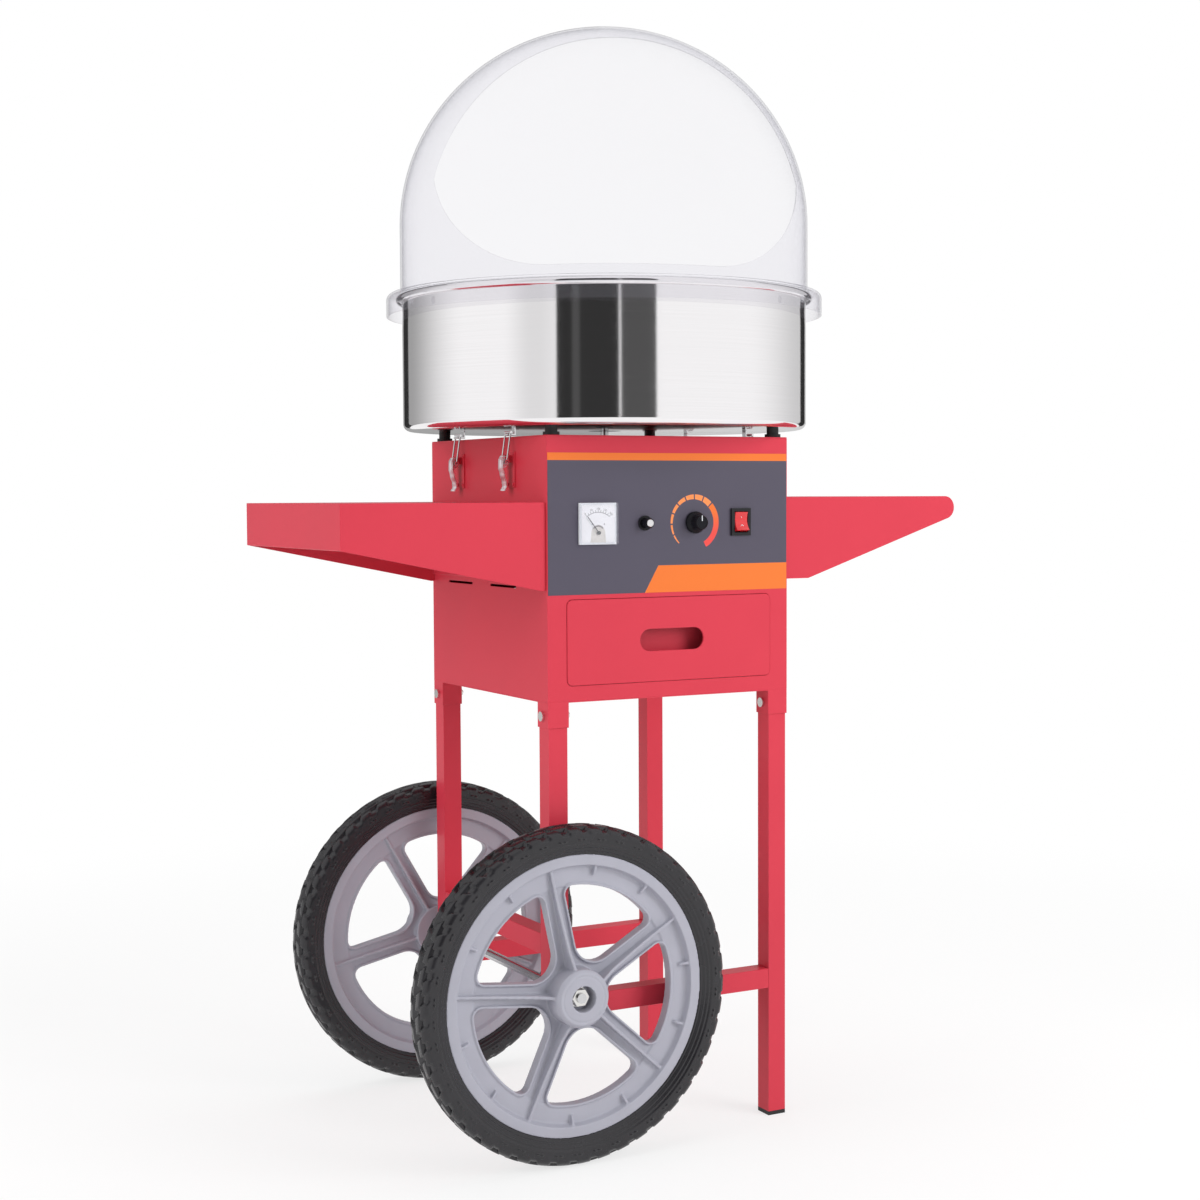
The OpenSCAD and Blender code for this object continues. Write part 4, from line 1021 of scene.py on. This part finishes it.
# Places across the lever, as shares of its half width

LEVER_ACROSS = (-1, -0.9, -0.7, -0.4, 0, 0.4, 0.7, 0.9, 1)


def lever_form():
    """A pressed lever at the origin of its pin: X points out of the wall, Z up."""
    rings = []
    last = len(LEVER_LINE) - 1
    for k in range(LEVER_STEPS * last + 1):
        at = k / LEVER_STEPS
        i = min(int(at), last - 1)
        (near_x, near_z, near_half), (far_x, far_z, far_half) = LEVER_LINE[i:i + 2]
        t = eased(at - i, 1)
        x = near_x * (1 - t) + far_x * t
        z = near_z + (far_z - near_z) * (at - i)
        half = near_half * (1 - t) + far_half * t
        over = [(x - LEVER_BOW * abs(s) ** 3, s * half, z) for s in LEVER_ACROSS]
        under = [(out - LEVER_THICK, y, height) for out, y, height in reversed(over)]
        rings.append(over + under)
    return loops_joined(rings, caps=True)


def make_levers():
    cheek = [(0.0066, 0.0015), (0.0085, 0.0036), (0.0135, 0.0044), (0.0158, 0.0)]
    cheek += [(0.0162, -0.012), (0.0128, -0.0112), (0.0066, -0.0068)]
    stub = arc(0, 0, 0.0015, 0, 345, 23)
    for corner in CORNERS:
        lever = corner + "_lever"
        left = "left" in corner
        wall = cabinet_low.x if left else cabinet_high.x
        place = Matrix.Translation((wall, middle(lever).y, cabinet_high.z - LATCH_DROP))
        if left:
            place = place @ Matrix.Rotation(math.pi, 4, "Z")
        parts = [lever_form()]
        for s in (-1, 1):
            stand = Matrix.Translation((0, 0.00405 * s, 0)) @ UPRIGHT
            parts.append(prism([cheek], -0.0006, 0.0006, stand))
            stand = Matrix.Translation((0.01, 0.0067 * s, -0.005)) @ UPRIGHT
            parts.append(prism([stub], -0.0023, 0.0023, stand))
        mesh = finished(joined(*parts), place)
        rider = corner + "_latch"
        piece(corner + "_pressed_lever", mesh, "pressed", rider, lever, sharp=40)


# Construction nodes that keep their form


def dress_nodes():
    dress("red", 0.0006, "cabinet_shell", "top_plate", "base_frame", "drawer_box")
    dress("red", 0.0006, "left_shelf", "right_shelf")
    dress("red", 0.0009, "drawer_front", "front_stretcher", "back_stretcher", "left_stretcher")
    dress("red", 0.0009, *(corner + "_leg" for corner in CORNERS))
    dress("chrome", 0, *(corner + "_bail" for corner in CORNERS))
    dress("chrome", 0.0003, "bowl_catches")
    dress("red", 0.0003, "latch_bases")
    dress("bolt", 0, "frame_bolts", "axle_nuts")
    dress("panel", 0, "control_overlay")
    dress("dial", 0, "meter_dial")
    dress("zinc", 0, "drawer_runners", "motor_bracket", "axle_spacers")
    dress("white", 0.0003, "meter_body")
    dress("black", 0, "meter_needle", "fuse_holder", "speed_control", "cable_gland")
    dress("black", 0.0005, "switch_bezel")
    dress("board", 0, "circuit_board")
    dress("motor", 0, "motor")
    dress("rubber", 0, "rubber_mounts", "foot_caps")
    dress("brown", 0, "brush_block")
    dress("shaft", 0, "head_shaft", "axle")
    dress("brass", 0, "slip_rings")
    dress("head", 0, "head_pan", "head_mesh", "head_lid")
    dress("heater", 0, "heater_ring")


# Floor, background and lamps

ROOM_LIGHT = 0.5
FLOOR_REACH = 30
FLOOR_GLOW = 0.72
SHADOW_REACH = 1.5
SHADOW_SOFT = 0.7

# Dark and grey screens round the cart: start, end and softness in degrees from the camera's
# side, and how much light each takes away

SCREENS = (
    (-25.4, 7.7, 0.15, 0.965),
    (8.7, 27.6, 0.15, 0.91),
    (-17.0, -13.0, 0.8, -0.05),
    (-48.0, -26.0, 9.0, 0.2),
    (144.0, 158.0, 0.8, 0.97),
    (-158.0, -144.0, 0.8, 0.97),
    (-230.0, -110.0, 30.0, 0.63),
    (112.0, 230.0, 30.0, 0.36),
)
SCREEN_RADIUS = 4.0
SCREEN_FOOT = -0.2
SCREEN_HEIGHT = 4.5
SCREEN_DARKEST = 0.03


def shown_to_eye(finish):
    """1 for camera, glossy and transmission rays."""
    outputs = finish.node("ShaderNodeLightPath").socket.node.outputs
    rays = ("Is Camera Ray", "Is Glossy Ray", "Is Transmission Ray")
    camera, glossy, through = (Value(finish, outputs[ray]) for ray in rays)
    return camera.math("MAXIMUM", glossy).math("MAXIMUM", through)


def make_floor():
    far = FLOOR_REACH
    corners = [(-far, -far, 0), (far, -far, 0), (far, far, 0), (-far, far, 0)]
    mesh = bpy.data.meshes.new("floor")
    mesh.from_pydata(corners, [], [(0, 1, 2, 3)])
    finish = Finish("pale_floor", Roughness=0.8)
    spot = finish.place()
    x, y, _ = finish.parts(spot)
    cloud = finish.noise(spot, 2.0)
    finish.set(Base_Color=finish.mix(cloud, (0.9, 0.9, 0.9), (0.93, 0.93, 0.93)))
    glow = finish.node("ShaderNodeEmission", {}, {"Color": (1, 1, 1), "Strength": 1.0})
    away = finish.step((x * x + y * y) ** 0.5, SHADOW_REACH, SHADOW_SOFT)
    share = shown_to_eye(finish) * (FLOOR_GLOW + (1 - FLOOR_GLOW) * away)
    both = finish.node("ShaderNodeMixShader", {}, {0: share, 1: finish.skin, 2: glow})
    finish.feed(finish.end.inputs["Surface"], both)
    mesh.materials.append(finish.material)
    floor = bpy.data.objects.new("floor", mesh)
    scene.collection.objects.link(floor)


def make_screens():
    """A round wall that only polished surfaces mirror, white between its screens."""
    rings = []
    circle = arc(axis_x, 0, SCREEN_RADIUS, 0, 357, 119)
    for z in (SCREEN_FOOT, SCREEN_HEIGHT):
        rings.append([(x, y, z) for x, y in circle])
    mesh = finished(loops_joined(rings))
    finish = Finish("studio_screens")
    x, y, _ = finish.parts(finish.place())
    turn = (x - axis_x).math("ARCTAN2", 0 - y) * (180 / math.pi) - math.degrees(CAMERA_TURN)
    turn = turn.math("WRAP", 180.0, -180.0)
    shades = [depth * finish.band(turn, start, end, soft) for start, end, soft, depth in SCREENS]
    light = (1 - sum(shades)).math("MAXIMUM", SCREEN_DARKEST)
    glow = finish.node("ShaderNodeEmission", {}, {"Strength": light})
    finish.feed(finish.end.inputs["Surface"], glow)
    mesh.materials.append(finish.material)
    wall = bpy.data.objects.new("screens", mesh)
    scene.collection.objects.link(wall)
    for ray in ("camera", "diffuse", "transmission", "volume_scatter", "shadow"):
        setattr(wall, "visible_" + ray, False)


class Room(Finish):
    """The white surroundings."""

    def __init__(self):
        self.world = bpy.data.worlds.new("white_room")
        self.world.use_nodes = True
        self.tree = self.world.node_tree
        self.tree.nodes.clear()
        self.end = self.tree.nodes.new("ShaderNodeOutputWorld")
        strength = ROOM_LIGHT + (1 - ROOM_LIGHT) * shown_to_eye(self)
        sky = self.node("ShaderNodeBackground", {}, {"Color": (1, 1, 1), "Strength": strength})
        self.feed(self.end.inputs["Surface"], sky)


def lamp(name, spot, aim, width, height, power):
    data = bpy.data.lights.new(name, "AREA")
    data.shape = "RECTANGLE"
    data.size, data.size_y = width, height
    data.energy = power
    made = bpy.data.objects.new(name, data)
    scene.collection.objects.link(made)
    made.location = spot
    made.visible_glossy = False
    made.rotation_euler = (Vector(spot) - Vector(aim)).to_track_quat("Z", "Y").to_euler()


def make_lamps():
    lamp("front_softbox", (1.9, -2.9, 1.9), (0, 0, 0.8), 2.0, 2.2, 84)
    lamp("left_softbox", (-3.3, -0.4, 1.6), (0, 0, 0.7), 2.0, 2.4, 48)
    lamp("top_softbox", (0.2, 0.4, 3.6), (0, 0, 0.8), 2.6, 2.6, 40)


place_camera()
make_bowl()
make_dome()
make_wheels()
make_knob()
make_fuse_cap()
make_meter()
make_rocker()
make_levers()
dress_nodes()
make_floor()
make_screens()
make_lamps()
scene.world = Room().world
